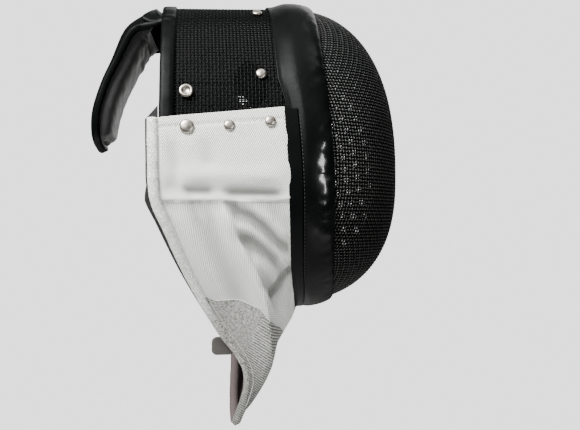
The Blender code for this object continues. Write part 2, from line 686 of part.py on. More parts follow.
def main():
    """Clears the scene and makes every piece."""
    for old in list(bpy.data.objects):
        bpy.data.objects.remove(old, do_unlink=True)
    wire = paint("black_wire", (0.012, 0.013, 0.012), 0.45, 0.6)
    vinyl = paint("black_vinyl", (0.012, 0.012, 0.012), 0.32)
    felt = paint("black_felt", (0.01, 0.01, 0.01), 0.95)
    white = paint("white_cloth", (0.78, 0.78, 0.75), 0.85)
    grey = paint("grey_cloth", (0.3, 0.3, 0.28), 0.7)
    velvet = paint("grey_velvet", (0.07, 0.07, 0.07), 0.6)
    nickel = paint("nickel", (0.6, 0.57, 0.53), 0.25, 1.0)
    make_crown_mesh(wire)
    make_face_mesh(wire)
    make_front_band(vinyl)
    make_rear_rim(vinyl)
    make_crown_padding(felt)
    make_chin_pad(felt)
    make_bib(white, grey)
    make_binding(white)
    make_tab(grey)
    make_tongue(vinyl, velvet)
    for side, word in ((RIGHT, "right"), (LEFT, "left")):
        make_side_pad(side, felt)
        make_edge_strip(side, vinyl)
        make_bib_lining(side, felt)
        for name, (fore, up, radius, lift) in RIVETS.items():
            make_rivet(f"rivet_{name}_{word}", fore, up, radius, lift, side, nickel)


main()
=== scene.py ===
"""Finishes for a fencing mask: woven wire face and crown, a padded vinyl band, a ribbed cloth
bib with a grey conductive tip, and a bent padded tongue.

Pieces are worked out in millimetres and made metres once, in add_piece. "fore" is the
distance in front of the origin (-Y), "up" the height above it, "half" the distance from the
middle plane and "lift" the distance outside the wire, along its normal.
"""
import math

import bpy
import numpy as np
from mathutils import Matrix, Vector


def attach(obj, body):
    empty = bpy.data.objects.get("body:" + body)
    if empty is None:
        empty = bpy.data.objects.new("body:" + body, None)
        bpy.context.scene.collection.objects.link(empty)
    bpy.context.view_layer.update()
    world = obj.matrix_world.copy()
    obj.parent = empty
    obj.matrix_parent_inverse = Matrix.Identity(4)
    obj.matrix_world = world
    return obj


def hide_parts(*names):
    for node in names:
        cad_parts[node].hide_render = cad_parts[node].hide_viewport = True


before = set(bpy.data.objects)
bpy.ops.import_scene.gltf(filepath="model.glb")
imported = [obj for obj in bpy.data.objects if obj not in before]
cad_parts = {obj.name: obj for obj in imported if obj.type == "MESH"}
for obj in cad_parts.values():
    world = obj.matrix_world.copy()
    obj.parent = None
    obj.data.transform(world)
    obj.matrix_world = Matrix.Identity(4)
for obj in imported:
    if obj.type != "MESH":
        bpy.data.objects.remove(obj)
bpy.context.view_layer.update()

RIGHT, LEFT = -1.0, 1.0


# ---- The studio -----------------------------------------------------------------------
# A level camera on the wearer's right, turned a little to the front, and a pale floor well
# below the mask. A thin tall softbox stands beyond the camera to the front, a bright one
# high behind the head, a weak one overhead and a large one on the far side.

IMAGE_WIDTH, FOCAL_PIXELS, SENSOR_WIDTH = 580.0, 658.0, 36.0
CAMERA_TURN = math.radians(8.0)
AIM = Vector((0.0, 0.0, -0.15))


def placed(name, data):
    """A new object of the scene that holds some data."""
    made = bpy.data.objects.new(name, data)
    bpy.context.scene.collection.objects.link(made)
    return made


camera = placed("camera", bpy.data.cameras.new("camera"))
bpy.context.scene.camera = camera
camera.data.sensor_width = SENSOR_WIDTH
camera.data.lens = SENSOR_WIDTH * FOCAL_PIXELS / IMAGE_WIDTH
camera.location = (-0.650, 0.030, -0.187)
heading = Vector((math.cos(CAMERA_TURN), -math.sin(CAMERA_TURN), 0.0))
camera.rotation_euler = heading.to_track_quat("-Z", "Y").to_euler()

SOFTBOXES = {
    # name: (place, width, height, watts)
    "tall_softbox": ((-1.16, -0.70, -0.13), 0.05, 0.55, 6.0),
    "broad_softbox": ((-0.78, 0.62, 0.85), 0.6, 0.6, 98.0),
    "top_softbox": ((-0.30, -0.30, 1.10), 0.6, 0.9, 5.0),
    "far_softbox": ((1.10, -0.60, 0.50), 1.6, 1.6, 20.0),
}
for name, (place, width, height, watts) in SOFTBOXES.items():
    lamp = bpy.data.lights.new(name, "AREA")
    lamp.shape, lamp.size, lamp.size_y, lamp.energy = "RECTANGLE", width, height, watts
    holder = placed(name, lamp)
    holder.location = place
    holder.rotation_euler = (AIM - Vector(place)).to_track_quat("-Z", "Y").to_euler()

SURROUND, BACKGROUND = 0.08, 2.2
world = bpy.data.worlds.new("studio")
bpy.context.scene.world = world
world.use_nodes = True
surround = world.node_tree.nodes["Background"]
surround.inputs["Color"].default_value = (1.0, 1.0, 1.0, 1.0)
ray = world.node_tree.nodes.new("ShaderNodeLightPath")
bright = world.node_tree.nodes.new("ShaderNodeMapRange")
bright.inputs["To Min"].default_value = SURROUND
bright.inputs["To Max"].default_value = BACKGROUND
world.node_tree.links.new(ray.outputs["Is Camera Ray"], bright.inputs["Value"])
world.node_tree.links.new(bright.outputs["Result"], surround.inputs["Strength"])


class Socket:
    """A socket of a material, so that shader maths reads as ordinary sums."""

    def __init__(self, socket):
        self.socket = socket

    def node(self, kind, settings=None, output=0, **inputs):
        """Adds a node: its settings first, then the values or links of its sockets, which
        are named in inputs with _ for a space, or numbered in0, in1 and so on."""
        tree = self.socket.id_data
        made = tree.nodes.new("ShaderNode" + kind)
        for key, value in (settings or {}).items():
            if key == "stops":
                for stop, (place, colour) in zip(made.color_ramp.elements, value):
                    stop.position, stop.color = place, colour
            else:
                setattr(made, key, value)
        for key, value in inputs.items():
            slot = made.inputs[int(key[2:]) if key[:2] == "in" and key[2:].isdigit()
                               else key.replace("_", " ")]
            if isinstance(value, Socket):
                tree.links.new(value.socket, slot)
            else:
                slot.default_value = value
        return Socket(made.outputs[output])

    def maths(self, operation, other=0.0):
        return self.node("Math", {"operation": operation}, in0=self, in1=other)

    def __add__(self, other):
        return self.maths("ADD", other)

    def __sub__(self, other):
        return self.maths("SUBTRACT", other)

    def __rsub__(self, other):
        return self.node("Math", {"operation": "SUBTRACT"}, in0=other, in1=self)

    def __mul__(self, other):
        return self.maths("MULTIPLY", other)

    def sine(self):
        return self.maths("SINE")

    def clamp(self):
        return self.node("Clamp", Value=self)

    def step(self, low, high):
        """0 below low, 1 above high, with a smooth rise between them."""
        return self.node("MapRange", {"interpolation_type": "SMOOTHSTEP"}, Value=self,
                         From_Min=low, From_Max=high)

    def mix(self, first, second):
        """Two colours mixed by this value."""
        return self.node("Mix", {"data_type": "RGBA"}, 2, Factor=self, in6=first, in7=second)

    def noise(self, scale, detail=3.0, roughness=0.55):
        """Even noise between 0 and 1 over a place."""
        return self.node("TexNoise", {"noise_dimensions": "3D"}, Vector=self, Scale=scale,
                         Detail=detail, Roughness=roughness)

    def axis(self, which):
        return self.node("SeparateXYZ", None, which, Vector=self)


def new_finish(name, roughness=0.5, metallic=0.0, **fixed):
    """A material. Returns it, its shader's node and its place in metres as a Socket. Values
    that are the same all over are set on the shader."""
    material = bpy.data.materials.new(name)
    material.use_nodes = True
    shader = material.node_tree.nodes["Principled BSDF"]
    shader.inputs["Roughness"].default_value = roughness
    shader.inputs["Metallic"].default_value = metallic
    for key, value in fixed.items():
        shader.inputs[key.replace("_", " ")].default_value = value
    coordinates = material.node_tree.nodes.new("ShaderNodeTexCoord")
    return material, shader, Socket(coordinates.outputs["Object"])


def feed(shader, name, value):
    """Joins a Socket to one of the shader's inputs."""
    shader.id_data.links.new(value.socket, shader.inputs[name])


def relief(shader, height, depth):
    """Feeds the shader's normal from a height between 0 and 1 that is depth metres deep."""
    feed(shader, "Normal", height.node("Bump", None, Height=height, Strength=1.0, Distance=depth))


def rgb(*values):
    """A colour from its three parts as shown on a screen, 0 to 255."""
    shown = np.array(values) / 255.0
    linear = np.where(shown <= 0.04045, shown / 12.92, ((shown + 0.055) / 1.055) ** 2.4)
    return (*linear.tolist(), 1.0)


def plain_finish(name, roughness, dark, light, grain, depth=0.0, **fixed):
    """A material mixed from a dark and a light colour by noise, grain being its scale,
    detail and roughness. With depth, the noise also stands up by that many metres."""
    material, shader, place = new_finish(name, roughness, **fixed)
    noise = place.noise(*grain)
    feed(shader, "Base Color", noise.mix(rgb(*dark), rgb(*light)))
    if depth:
        relief(shader, noise, depth)
    return material


FLOOR_UP, FLOOR_RADIUS, FLOOR_SIDES = -0.62, 0.6, 96
floor_turns = np.linspace(0.0, 2 * math.pi, FLOOR_SIDES, endpoint=False)
floor_mesh = bpy.data.meshes.new("floor")
floor_mesh.from_pydata(
    np.column_stack([FLOOR_RADIUS * np.cos(floor_turns), FLOOR_RADIUS * np.sin(floor_turns),
                     np.full(FLOOR_SIDES, FLOOR_UP)]).tolist(), [], [tuple(range(FLOOR_SIDES))])
floor_mesh.materials.append(
    plain_finish("pale_floor", 0.85, (226, 226, 224), (233, 233, 231), (3.0,)))
placed("floor", floor_mesh)


# ---- The woven wire -------------------------------------------------------------------
# Steel wire woven over and under and painted black. The crown is a barrel of it and the
# face a dome pressed from one flat piece, so its rows fan out a little towards the band.
# The painted wires are thick for their spacing, so little light comes through two layers.

HALF_WIDTH = 105.0
MIDDLE_UP = -151.5
RISE, DROP = 166.3, 121.0
FRONT_START, FRONT_DEPTH = 57.0, 108.7
PROFILE_POWER, ACROSS_POWER = 2.4, 1.95
REAR_TAPER = 0.022
REAR_EDGE = -60.0
CROWN_FIRST, CROWN_LAST = -3.75, 183.75
BAND_CENTRE = np.array([
    # up,     fore
    (-278.0, 83.0),
    (-257.0, 77.0),
    (-229.0, 71.0),
    (-191.0, 68.5),
    (-154.0, 67.0),
    (-117.0, 65.0),
    (-78.0, 62.5),
    (-45.0, 60.5),
    (20.0, 60.0),
])
BAND_HALF = 17.5
WIRE_PITCH = 3.1
CROWN_WIRE, FACE_WIRE = 0.68, 1.12
WIRE_CRIMP = 0.42
WIRE_LIFT = -1.05
MM = 0.001
HALVINGS = 36


def unit(vectors):
    """Vectors made one long."""
    return vectors / np.linalg.norm(vectors, axis=-1, keepdims=True)


def signed_power(value, power):
    """A power of the size of a value, with the value's sign."""
    return np.sign(value) * np.abs(value) ** power


def distances(line):
    """How far along a line each of its points lies."""
    moves = np.linalg.norm(np.diff(line, axis=0), axis=1)
    return np.concatenate([[0.0], np.cumsum(moves)])


def read_at(x, known, points):
    """Points read at x, on straight lines between the known places of the given points."""
    return np.stack([np.interp(x, known, column) for column in points.T], axis=-1)


def largest(inside, top):
    """The largest number up to top for which inside holds, found by halving."""
    low, high = np.zeros_like(top), top
    for _ in range(HALVINGS):
        middle = (low + high) / 2
        kept = inside(middle)
        low, high = np.where(kept, middle, low), np.where(kept, high, middle)
    return low


def in_body(across, ahead, rise):
    """Whether places are in the wire body, each distance being a share of its reach."""
    profile = ahead ** PROFILE_POWER + np.abs(rise) ** PROFILE_POWER
    return np.abs(across) ** ACROSS_POWER + profile ** (ACROSS_POWER / PROFILE_POWER) < 1.0


def table(rows, x, column=1, soft=0.0):
    """Reads a column of a table at x of its first column, on straight lines between rows.
    With soft, it is the mean of seven readings up to soft either side, which rounds it."""
    steps = np.linspace(-soft, soft, 7) if soft else [0.0]
    return np.mean([np.interp(x + s, rows[:, 0], rows[:, column]) for s in steps], axis=0)


def body_point(fore, angle, lift=0.0):
    """A point on the wire body at a fore and an angle, raised by lift along the normal.
    Angles go round as seen from the front: 0 is the wearer's right, 90 the crown.

    A section at one fore is the curve where
    |half / HALF_WIDTH| ^ ACROSS_POWER + profile ^ ACROSS_POWER = 1, the profile being the
    PROFILE_POWER sum of the height and of the distance into the dome."""
    fore, angle, lift = np.broadcast_arrays(
        np.asarray(fore, float), np.asarray(angle, float), np.asarray(lift, float))
    turn = np.radians(angle)
    cosine, sine = np.cos(turn), np.sin(turn)
    ahead = np.clip((fore - FRONT_START) / FRONT_DEPTH, 0.0, 1.0)
    out = largest(lambda share: in_body(share * cosine, ahead, share * sine),
                  np.full_like(turn, 1.5))
    behind = np.clip((FRONT_START - fore) / (FRONT_START - REAR_EDGE), 0.0, 1.1)
    taper = 1.0 - REAR_TAPER * behind
    reach = np.where(sine > 0, RISE, DROP)
    across, rise = out * cosine, out * sine
    profile = (ahead ** PROFILE_POWER + np.abs(rise) ** PROFILE_POWER) ** (1 / PROFILE_POWER)
    steep = np.maximum(profile, 1e-6) ** (ACROSS_POWER - PROFILE_POWER)
    normal = unit(np.stack([
        -signed_power(across, ACROSS_POWER - 1) / HALF_WIDTH,
        -steep * ahead ** (PROFILE_POWER - 1) / FRONT_DEPTH,
        steep * signed_power(rise, PROFILE_POWER - 1) / reach,
    ], axis=-1))
    point = np.stack([-HALF_WIDTH * taper * across, -fore,
                      MIDDLE_UP + reach * taper * rise], axis=-1)
    return point + normal * lift[..., None]


def body_normal(fore, angle):
    """The wire body's outward normal."""
    return body_point(fore, angle, 1.0) - body_point(fore, angle, 0.0)


def angle_at(up, fore=0.0):
    """The angle of the right side's points at some heights, at one fore."""
    angles = np.linspace(-60.0, 89.9, 1200)
    return np.interp(up, body_point(fore, angles)[:, 2], angles)


def band_fore(angle, across=0.0):
    """Fore of the band at an angle, "across" being -1 at its rear edge and 1 at its front."""
    up = body_point(np.interp(MIDDLE_UP, BAND_CENTRE[:, 0], BAND_CENTRE[:, 1]), angle)[..., 2]
    return table(BAND_CENTRE, up, soft=12.0) + across * BAND_HALF


def add_piece(name, points, faces, material, slot, nodes=(), uv=None, painted_glint_and_shade=None, bake=False):
    """Makes a piece of points in millimetres and an array of quads, riding on the root. uv
    holds a place on the cloth, in metres, for each point, and the argument after it how much
    painted glint (on wire) and painted crease shade (on cloth) each point takes. bake lays
    every face out in its own small square, for too many faces to unfold."""
    points, faces = np.asarray(points, float).reshape(-1, 3), np.asarray(faces)
    used, new_index = np.unique(faces, return_inverse=True)
    faces = new_index.reshape(faces.shape)
    mesh = bpy.data.meshes.new(name)
    mesh.from_pydata((points[used] * MM).tolist(), [], faces.tolist())
    mesh.polygons.foreach_set("use_smooth", np.ones(len(faces), bool))
    if uv is not None:
        layer = mesh.uv_layers.new(name="cloth")
        layer.data.foreach_set("uv", np.asarray(uv).reshape(-1, 2)[used][faces].ravel())
    if painted_glint_and_shade is not None:
        layer = mesh.attributes.new("painted_glint_and_shade", "FLOAT", "POINT")
        layer.data.foreach_set("value", np.asarray(painted_glint_and_shade, float).ravel()[used])
    if bake:
        side = math.ceil(math.sqrt(len(faces)))
        corner = np.stack(np.divmod(np.arange(len(faces)), side), axis=1)[:, None]
        square = np.array([(0.1, 0.1), (0.9, 0.1), (0.9, 0.9), (0.1, 0.9)])
        layer = mesh.uv_layers.new(name="OFBake")
        layer.data.foreach_set("uv", ((corner + square) / side).ravel())
    mesh.update()
    mesh.materials.append(material)
    made = placed(name, mesh)
    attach(made, "root")
    if nodes:
        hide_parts(*nodes)
    return made


def woven_wires(points, normals, inside, radius):
    """Two families of round wires over a grid of crossings. A wire goes through its
    crossings, lifted by WIRE_CRIMP along the normal over one wire and lowered by it under
    the next, with a ring of four points at each and a flat end. Also 1 for each point on
    top of a crimp, where a painted glint goes, and 0 for the others."""
    row, column = np.indices(inside.shape)
    over = WIRE_CRIMP * np.where((row + column) % 2, 1.0, -1.0)[..., None]
    all_points, all_faces, all_glints, start = [], [], [], 0
    for turned, sign in ((False, 1.0), (True, -1.0)):
        path, normal, kept = points + normals * over * sign, normals, inside
        if turned:
            path, normal, kept = path.swapaxes(0, 1), normals.swapaxes(0, 1), inside.T
        along = np.gradient(path, axis=1)
        side = unit(np.cross(along, normal))
        outward = unit(np.cross(side, along))
        ring = np.stack([side, outward, -side, -outward], axis=2) * radius
        all_points.append((path[:, :, None] + ring).reshape(-1, 3))
        # Points on top of a crimp get the painted glint.
        on_top = over[..., 0].T * sign > 0.0 if turned else over[..., 0] * sign > 0.0
        all_glints.append((on_top[:, :, None] * (0.0, 1.0, 0.0, 0.0)).ravel())
        index = start + np.arange(ring[..., 0].size).reshape(ring.shape[:3])
        run = kept[:, :-1] & kept[:, 1:]
        first, last = index[:, :-1][run], index[:, 1:][run]
        around = np.stack([first, last, np.roll(last, -1, axis=1), np.roll(first, -1, axis=1)],
                          axis=-1)
        padded = np.pad(kept, ((0, 0), (1, 1)))
        begins = index[kept & ~padded[:, :-2]]
        ends = index[kept & ~padded[:, 2:]]
        all_faces += [around.reshape(-1, 4), begins, ends[:, ::-1]]
        start += index.size
    return (np.concatenate(all_points), np.concatenate(all_faces),
            np.concatenate(all_glints))


def wire_finish(name, glint_colour):
    """Dull black paint on wire, with a painted glint on top of the crimps: a lighter colour
    there that stands in for the lamps' highlights, strongest near the band.
    """
    material, shader, place = new_finish(name, 0.45, Specular_IOR_Level=0.06)
    grain = place.noise(900.0, 2.0)
    # Painted highlight: the crimp tops take a lighter colour in place of the lamps' glints.
    coat_gloss_and_painted_glint = place.node("Attribute", {"attribute_name": "painted_glint_and_shade"}, 2).step(0.5, 1.0)
    patchy = place.noise(260.0, 2.0).step(0.2, 0.7)
    # Painted highlight: the glints are strongest near the band, fainter towards the front, low down
    # and at the top.
    glint_falloff = (place.axis(1).step(-0.160, -0.080) * place.axis(2).step(-0.300, -0.140)
               * (1.0 - place.axis(2).step(-0.120, -0.010) * 0.9))
    feed(shader, "Base Color", (coat_gloss_and_painted_glint * (patchy * 0.6 + 0.4) * (glint_falloff * 0.75 + 0.25)).mix(
        grain.mix(rgb(1, 2, 2), rgb(5, 6, 6)), glint_colour))
    feed(shader, "Roughness", grain * 0.25 + 0.35)
    relief(shader, grain, 0.00012)
    return material


# The second colour is the painted glint on top of the crimps.
crown_paint = wire_finish("black_crown_wire_paint", rgb(26, 27, 26))
face_paint = wire_finish("black_face_wire_paint", rgb(140, 142, 138))

arc_angles = np.linspace(CROWN_FIRST, CROWN_LAST, 2000)
arc = distances(body_point(0.0, arc_angles))
crown_angles = np.interp(np.arange(0.0, arc[-1], WIRE_PITCH), arc, arc_angles)[None, :]
crown_fores = np.arange(REAR_EDGE + 1.5, 70.0, WIRE_PITCH)[:, None]
crown_grid = np.broadcast_arrays(crown_fores, crown_angles)
crown_points, crown_faces, crown_glints = woven_wires(
    body_point(*crown_grid, WIRE_LIFT), body_normal(*crown_grid),
    crown_grid[0] < band_fore(crown_grid[1]) - 0.5, CROWN_WIRE)
add_piece("crown_wires", crown_points, crown_faces, crown_paint, "black_wire", ["crown_mesh"],
          painted_glint_and_shade=crown_glints, bake=True)

# A row of the face's weave lies in a plane through a point of the middle line and a point
# of the band, both the same way round from the chin to the crown, and its crossings are a
# pitch apart along it. The rows slant down to the front, because the band's point is a
# little ahead of the other.
ROW_LEAD = 0.92
middle_fore = FRONT_START + FRONT_DEPTH * np.sin(np.linspace(0.0, math.pi, 900))
middle_angle = np.where(np.linspace(0.0, math.pi, 900) < math.pi / 2, 270.0, 90.0)
middle_line = body_point(middle_fore, middle_angle)
middle_line = middle_line[-middle_line[:, 1] > band_fore(middle_angle)]
band_line_angles = np.linspace(270.0, 90.0, 900)
band_line = body_point(band_fore(band_line_angles), band_line_angles)


def evenly(line, shares):
    """Points of a line at shares of its length."""
    known = distances(line)
    return read_at(shares * known[-1], known, line)


middle_length = distances(middle_line)[-1]
row_shares = (np.arange(int(middle_length / WIRE_PITCH)) + 0.5) * WIRE_PITCH / middle_length
row_middles, row_ends = evenly(middle_line, row_shares), evenly(band_line, row_shares ** ROW_LEAD)
hub = row_ends * (0.0, 1.0, 1.0)
turns = np.radians(np.linspace(0.0, 90.0, 200))[:, None]
spoke = (np.cos(turns) * (row_middles - hub)[:, None]
         + np.sin(turns) * (row_ends * (1.0, 0.0, 0.0))[:, None])


def rise_share(points):
    """Heights above the widest line as shares of the body's reach."""
    rise = points[..., 2] - MIDDLE_UP
    return rise / np.where(rise > 0, RISE, DROP)


def spoke_in_body(share):
    """Whether the points at shares of the spokes are in the wire body."""
    trial = hub[:, None] + spoke * share[..., None]
    ahead = np.clip((-trial[..., 1] - FRONT_START) / FRONT_DEPTH, 0.0, 1.0)
    return in_body(trial[..., 0] / HALF_WIDTH, ahead, rise_share(trial))


ROW_CROSSINGS = 80
row_reach = largest(spoke_in_body, np.full(spoke.shape[:2], 2.0))
row_paths = hub[:, None] + spoke * row_reach[..., None]
row_distances = np.array([distances(path) for path in row_paths])
columns = (np.arange(ROW_CROSSINGS) + 0.5) * WIRE_PITCH
half_face = np.array([read_at(columns, known, path)
                      for known, path in zip(row_distances, row_paths)])
face = np.concatenate([half_face[:, ::-1] * (-1.0, 1.0, 1.0), half_face], axis=1)
woven = columns < row_distances[:, -1:]
face_angle = np.degrees(np.arctan2(rise_share(face), -face[..., 0] / HALF_WIDTH))
face_points, face_faces, face_glints = woven_wires(
    body_point(-face[..., 1], face_angle, WIRE_LIFT), body_normal(-face[..., 1], face_angle),
    np.concatenate([woven[:, ::-1], woven], axis=1), FACE_WIRE)
add_piece("face_wires", face_points, face_faces, face_paint, "black_wire", ["face_mesh"],
          painted_glint_and_shade=face_glints, bake=True)


# ---- The padding ----------------------------------------------------------------------
# Foam covered with black felt, laid inside the wire. The crown's padding and the two jaw
# pads leave an oval open at each ear, and a crescent lies inside the chin.

PAD_LIFT = -2.9
EAR_FORE, EAR_UP = 15.5, -74.5
EAR_HALF_FORE, EAR_HALF_UP = 14.6, 21.5
PAD_REAR = -48.5
PAD_FRONT = np.array([
    # up,     fore
    (-160.0, 66.0),
    (-118.0, 72.0),
    (-98.0, 88.0),
    (-74.5, 91.0),
    (-60.0, 88.0),
    (-45.0, 83.0),
    (12.0, 84.0),
])
CHIN_REAR = 62.0
CHIN_FRONT = np.array([
    # angle from the chin, fore
    (0.0, 134.0),
    (40.0, 117.0),
    (53.0, 101.0),
    (67.0, 78.0),
])


def grid_faces(rows, columns, start=0, closed=False):
    """Quads of a grid of points, as an array. Columns may close into a ring."""
    index = start + np.arange(rows * columns).reshape(rows, columns)
    if closed:
        index = np.column_stack([index, index[:, 0]])
    return np.stack([index[:-1, :-1], index[:-1, 1:], index[1:, 1:], index[1:, :-1]],
                    axis=-1).reshape(-1, 4)


def tube_faces(rows, columns):
    """Quads of a grid whose columns close into rings, with a flat end at either side."""
    half = np.arange(columns // 2 - 1)
    cap = np.stack([half, half + 1, columns - 2 - half, columns - 1 - half], axis=-1)
    return np.concatenate([grid_faces(rows, columns, closed=True), cap[:, ::-1],
                           (rows - 1) * columns + cap])


def closed_shell(outer, inner):
    """A body between two grids of points that match: both faces and the strip that joins
    their borders. The outer grid's faces keep the way that grid_faces turns them."""
    rows, columns = outer.shape[:2]
    index = np.arange(rows * columns).reshape(rows, columns)
    border = np.concatenate([index[0, :-1], index[:-1, -1], index[-1, :0:-1], index[:0:-1, 0]])
    after = np.roll(border, -1)
    rim = np.stack([after, border, border + index.size, after + index.size], axis=-1)
    faces = np.concatenate([grid_faces(rows, columns),
                            grid_faces(rows, columns, index.size)[:, ::-1], rim])
    return np.concatenate([outer.reshape(-1, 3), inner.reshape(-1, 3)]), faces


def puffed(rows, columns):
    """How thick a pad is at each point of its grid: 0 at its border and 1 inside, rounded
    within about a sixth of its size."""
    sides = [1.0 - np.abs(np.linspace(-1.0, 1.0, n)) ** 6.0 for n in (rows, columns)]
    return np.sqrt(np.clip(np.outer(*sides), 0.0, 1.0))


def add_pad(name, fores, angles, thickness, node):
    """A pad inside the wire, over a grid of fores and angles, puffed inwards."""
    puff = 0.3 + 0.7 * puffed(*fores.shape)
    outer = body_point(fores, angles, PAD_LIFT - 0.6 * (1.0 - puff))
    inner = body_point(fores, angles, PAD_LIFT - 0.6 - thickness * puff)
    pad = add_piece(name, *closed_shell(outer, inner), felt, "black_felt", [node])


def ear_edge(fore):
    """How far the edge of the padding steps back round the ear opening."""
    inside = 1.0 - np.clip((fore - EAR_FORE) / EAR_HALF_FORE, -1.0, 1.0) ** 2
    return EAR_HALF_UP * np.sqrt(inside)


PAD_STRAIGHT = 60.0
EAR_CLEAR = 0.25
CROWN_PAD_THICK, JAW_PAD_THICK = 11.0, 5.6
felt = plain_finish("black_felt_cover", 0.95, (3, 3, 4), (15, 15, 16), (1400.0, 4.0, 0.7),
                    0.0004, Sheen_Weight=0.08, Sheen_Roughness=0.6)

ear_steps = EAR_FORE + EAR_HALF_FORE * np.sin(np.linspace(-math.pi / 2, math.pi / 2, 24))
steps = np.concatenate([np.linspace(PAD_REAR, EAR_FORE - EAR_HALF_FORE - 0.4, 20), ear_steps,
                        np.linspace(EAR_FORE + EAR_HALF_FORE + 0.4, PAD_STRAIGHT, 12)])


def pad_fores(front):
    """Fores of a pad's grid: a row of steps up to PAD_STRAIGHT, then on to its own front."""
    return np.concatenate([
        np.broadcast_to(steps, (len(front), len(steps))),
        PAD_STRAIGHT + (front - PAD_STRAIGHT) * np.linspace(0.0, 1.0, 10)[None, 1:]], axis=1)


whole = 2 * np.linspace(0.0, 1.0, 120)[:, None] - 1.0
crown_pad_fores = pad_fores(table(PAD_FRONT, EAR_UP * np.abs(whole) ** 8))
crown_pad_edge = angle_at(EAR_UP + EAR_CLEAR + ear_edge(crown_pad_fores))
add_pad("crown_pad", crown_pad_fores, 90.0 + whole * (90.0 - crown_pad_edge), CROWN_PAD_THICK,
        "crown_padding")

share = np.linspace(0.0, 1.0, 40)[:, None]
pad_up = EAR_UP + (body_point(0.0, CROWN_FIRST)[2] - EAR_UP) * share
jaw_fores = pad_fores(table(PAD_FRONT, pad_up, soft=4.0))
jaw_top = angle_at(EAR_UP - EAR_CLEAR - ear_edge(jaw_fores))
jaw_angles = jaw_top + (CROWN_FIRST - jaw_top) * share
add_pad("jaw_pad_right", jaw_fores[::-1], jaw_angles[::-1], JAW_PAD_THICK, "side_pad_right")
add_pad("jaw_pad_left", jaw_fores, 180.0 - jaw_angles, JAW_PAD_THICK, "side_pad_left")

chin_angles = 270.0 + np.linspace(-67.0, 67.0, 90)[:, None]
chin_fores = CHIN_REAR + (table(CHIN_FRONT, np.abs(chin_angles - 270.0), soft=4.0)
                          - CHIN_REAR) * np.linspace(0.0, 1.0, 26)
add_pad("chin_crescent", chin_fores, np.broadcast_to(chin_angles, chin_fores.shape),
        JAW_PAD_THICK, "chin_pad")


# ---- The rear rim ---------------------------------------------------------------------
# A strip of black vinyl folded over the cut edge of the crown's wire and stuck down. Its
# ends lap on the wearer's right, where the upper layer stands a little proud.

RIM_LEG = 10.5
RIM_SECTION = np.array([
    # fore from the cut edge, lift
    (-0.9, -3.6),
    (2.0, -3.75),
    (RIM_LEG - 0.4, -3.7),
    (RIM_LEG, -3.2),
    (RIM_LEG - 0.2, -2.5),
    (0.0, -2.4),
    (-0.4, -1.0),
    (0.0, 0.4),
    (RIM_LEG - 0.2, 0.5),
    (RIM_LEG, 1.0),
    (RIM_LEG - 0.5, 1.65),
    (6.0, 1.85),
    (2.0, 1.85),
    (-0.6, 1.5),
    (-1.6, 0.5),
    (-1.85, -1.0),
    (-1.6, -2.6),
])
LAP_ANGLES = (58.0, 63.0)

vinyl, vinyl_shader, vinyl_place = new_finish(
    "black_vinyl_skin", 0.3, Specular_IOR_Level=0.045, Coat_Roughness=0.16)
scuff = vinyl_place.noise(45.0, 5.0)
fore_half = 1.0 - vinyl_place.axis(1).step(-0.074, -0.060)
vinyl_up = vinyl_place.axis(2)
beside = vinyl_up.step(-0.225, -0.175) * (1.0 - vinyl_up.step(-0.140, -0.100))
coat_gloss_and_painted_glint = fore_half * (beside + vinyl_up.step(-0.080, -0.050) * 0.3)
feed(vinyl_shader, "Coat Weight", coat_gloss_and_painted_glint * scuff.step(0.25, 0.65) * 0.9)
feed(vinyl_shader, "Base Color", scuff.mix(rgb(2, 3, 3), rgb(6, 7, 7)))
feed(vinyl_shader, "Roughness", scuff * 0.16 + 0.36 - coat_gloss_and_painted_glint * 0.18)
relief(vinyl_shader, vinyl_place.noise(900.0, 2.0) * 0.4 + vinyl_place.noise(160.0, 3.0), 0.00018)

rim_angles = np.linspace(CROWN_FIRST, CROWN_LAST, 420)[:, None]
lap = np.clip((rim_angles - LAP_ANGLES[0]) / 1.2, 0.0, 1.0) * np.clip(
    (LAP_ANGLES[1] - rim_angles) / 2.5, 0.0, 1.0)
uneven = 0.12 * np.sin(rim_angles * 0.31) + 0.1 * np.sin(rim_angles * 0.83 + 1.0)
on_top = np.clip(RIM_SECTION[:, 1] - 0.9, 0.0, 1.0)
rim_points = body_point(REAR_EDGE + RIM_SECTION[:, 0] + 0.35 * uneven, rim_angles,
                        RIM_SECTION[:, 1] + on_top * (0.9 * lap + uneven))
rim_faces = grid_faces(*rim_points.shape[:2], closed=True)[:, ::-1]
last_ring = (len(rim_angles) - 1) * len(RIM_SECTION)
half = np.arange(len(RIM_SECTION) // 2)
rim_ends = np.stack([half + 1, half, len(RIM_SECTION) - 1 - half, len(RIM_SECTION) - 2 - half],
                    axis=-1)
add_piece("rim_strip", rim_points, np.concatenate(
    [rim_faces, rim_ends[:, ::-1], last_ring + rim_ends]), vinyl, "black_vinyl", ["rear_rim"])


# ---- The band -------------------------------------------------------------------------
# A strip of black vinyl over a soft core hides the joint of crown and face. Its rear part
# lies flat, its front part is a roll that puckers where it is pulled round the side, and
# two rows of thread run down its rear edge.

BAND_FLANGE, BAND_ROLL = 1.8, 5.6
BAND_ROWS = 720
SIDE_SPREAD = 34.0


def band_lift(across, angle):
    """Height of the band above the wire: a flat rear flange, and a roll whose crest moves
    from the band's middle at the crown to its front half at the sides."""
    sideways = np.clip(np.abs(np.cos(np.radians(angle))) * 1.3, 0.0, 1.0)
    crest = -0.05 + 0.45 * sideways
    reach = np.where(across < crest, crest + 1.27, 1.02 - crest)
    roll = np.sqrt(1.0 - np.clip((across - crest) / reach, -1.0, 1.0) ** 2)
    rise = np.clip((across + 0.96) / 0.7, 0.0, 1.0)
    return BAND_FLANGE + (BAND_ROLL - BAND_FLANGE) * roll * rise * rise * (3.0 - 2.0 * rise)


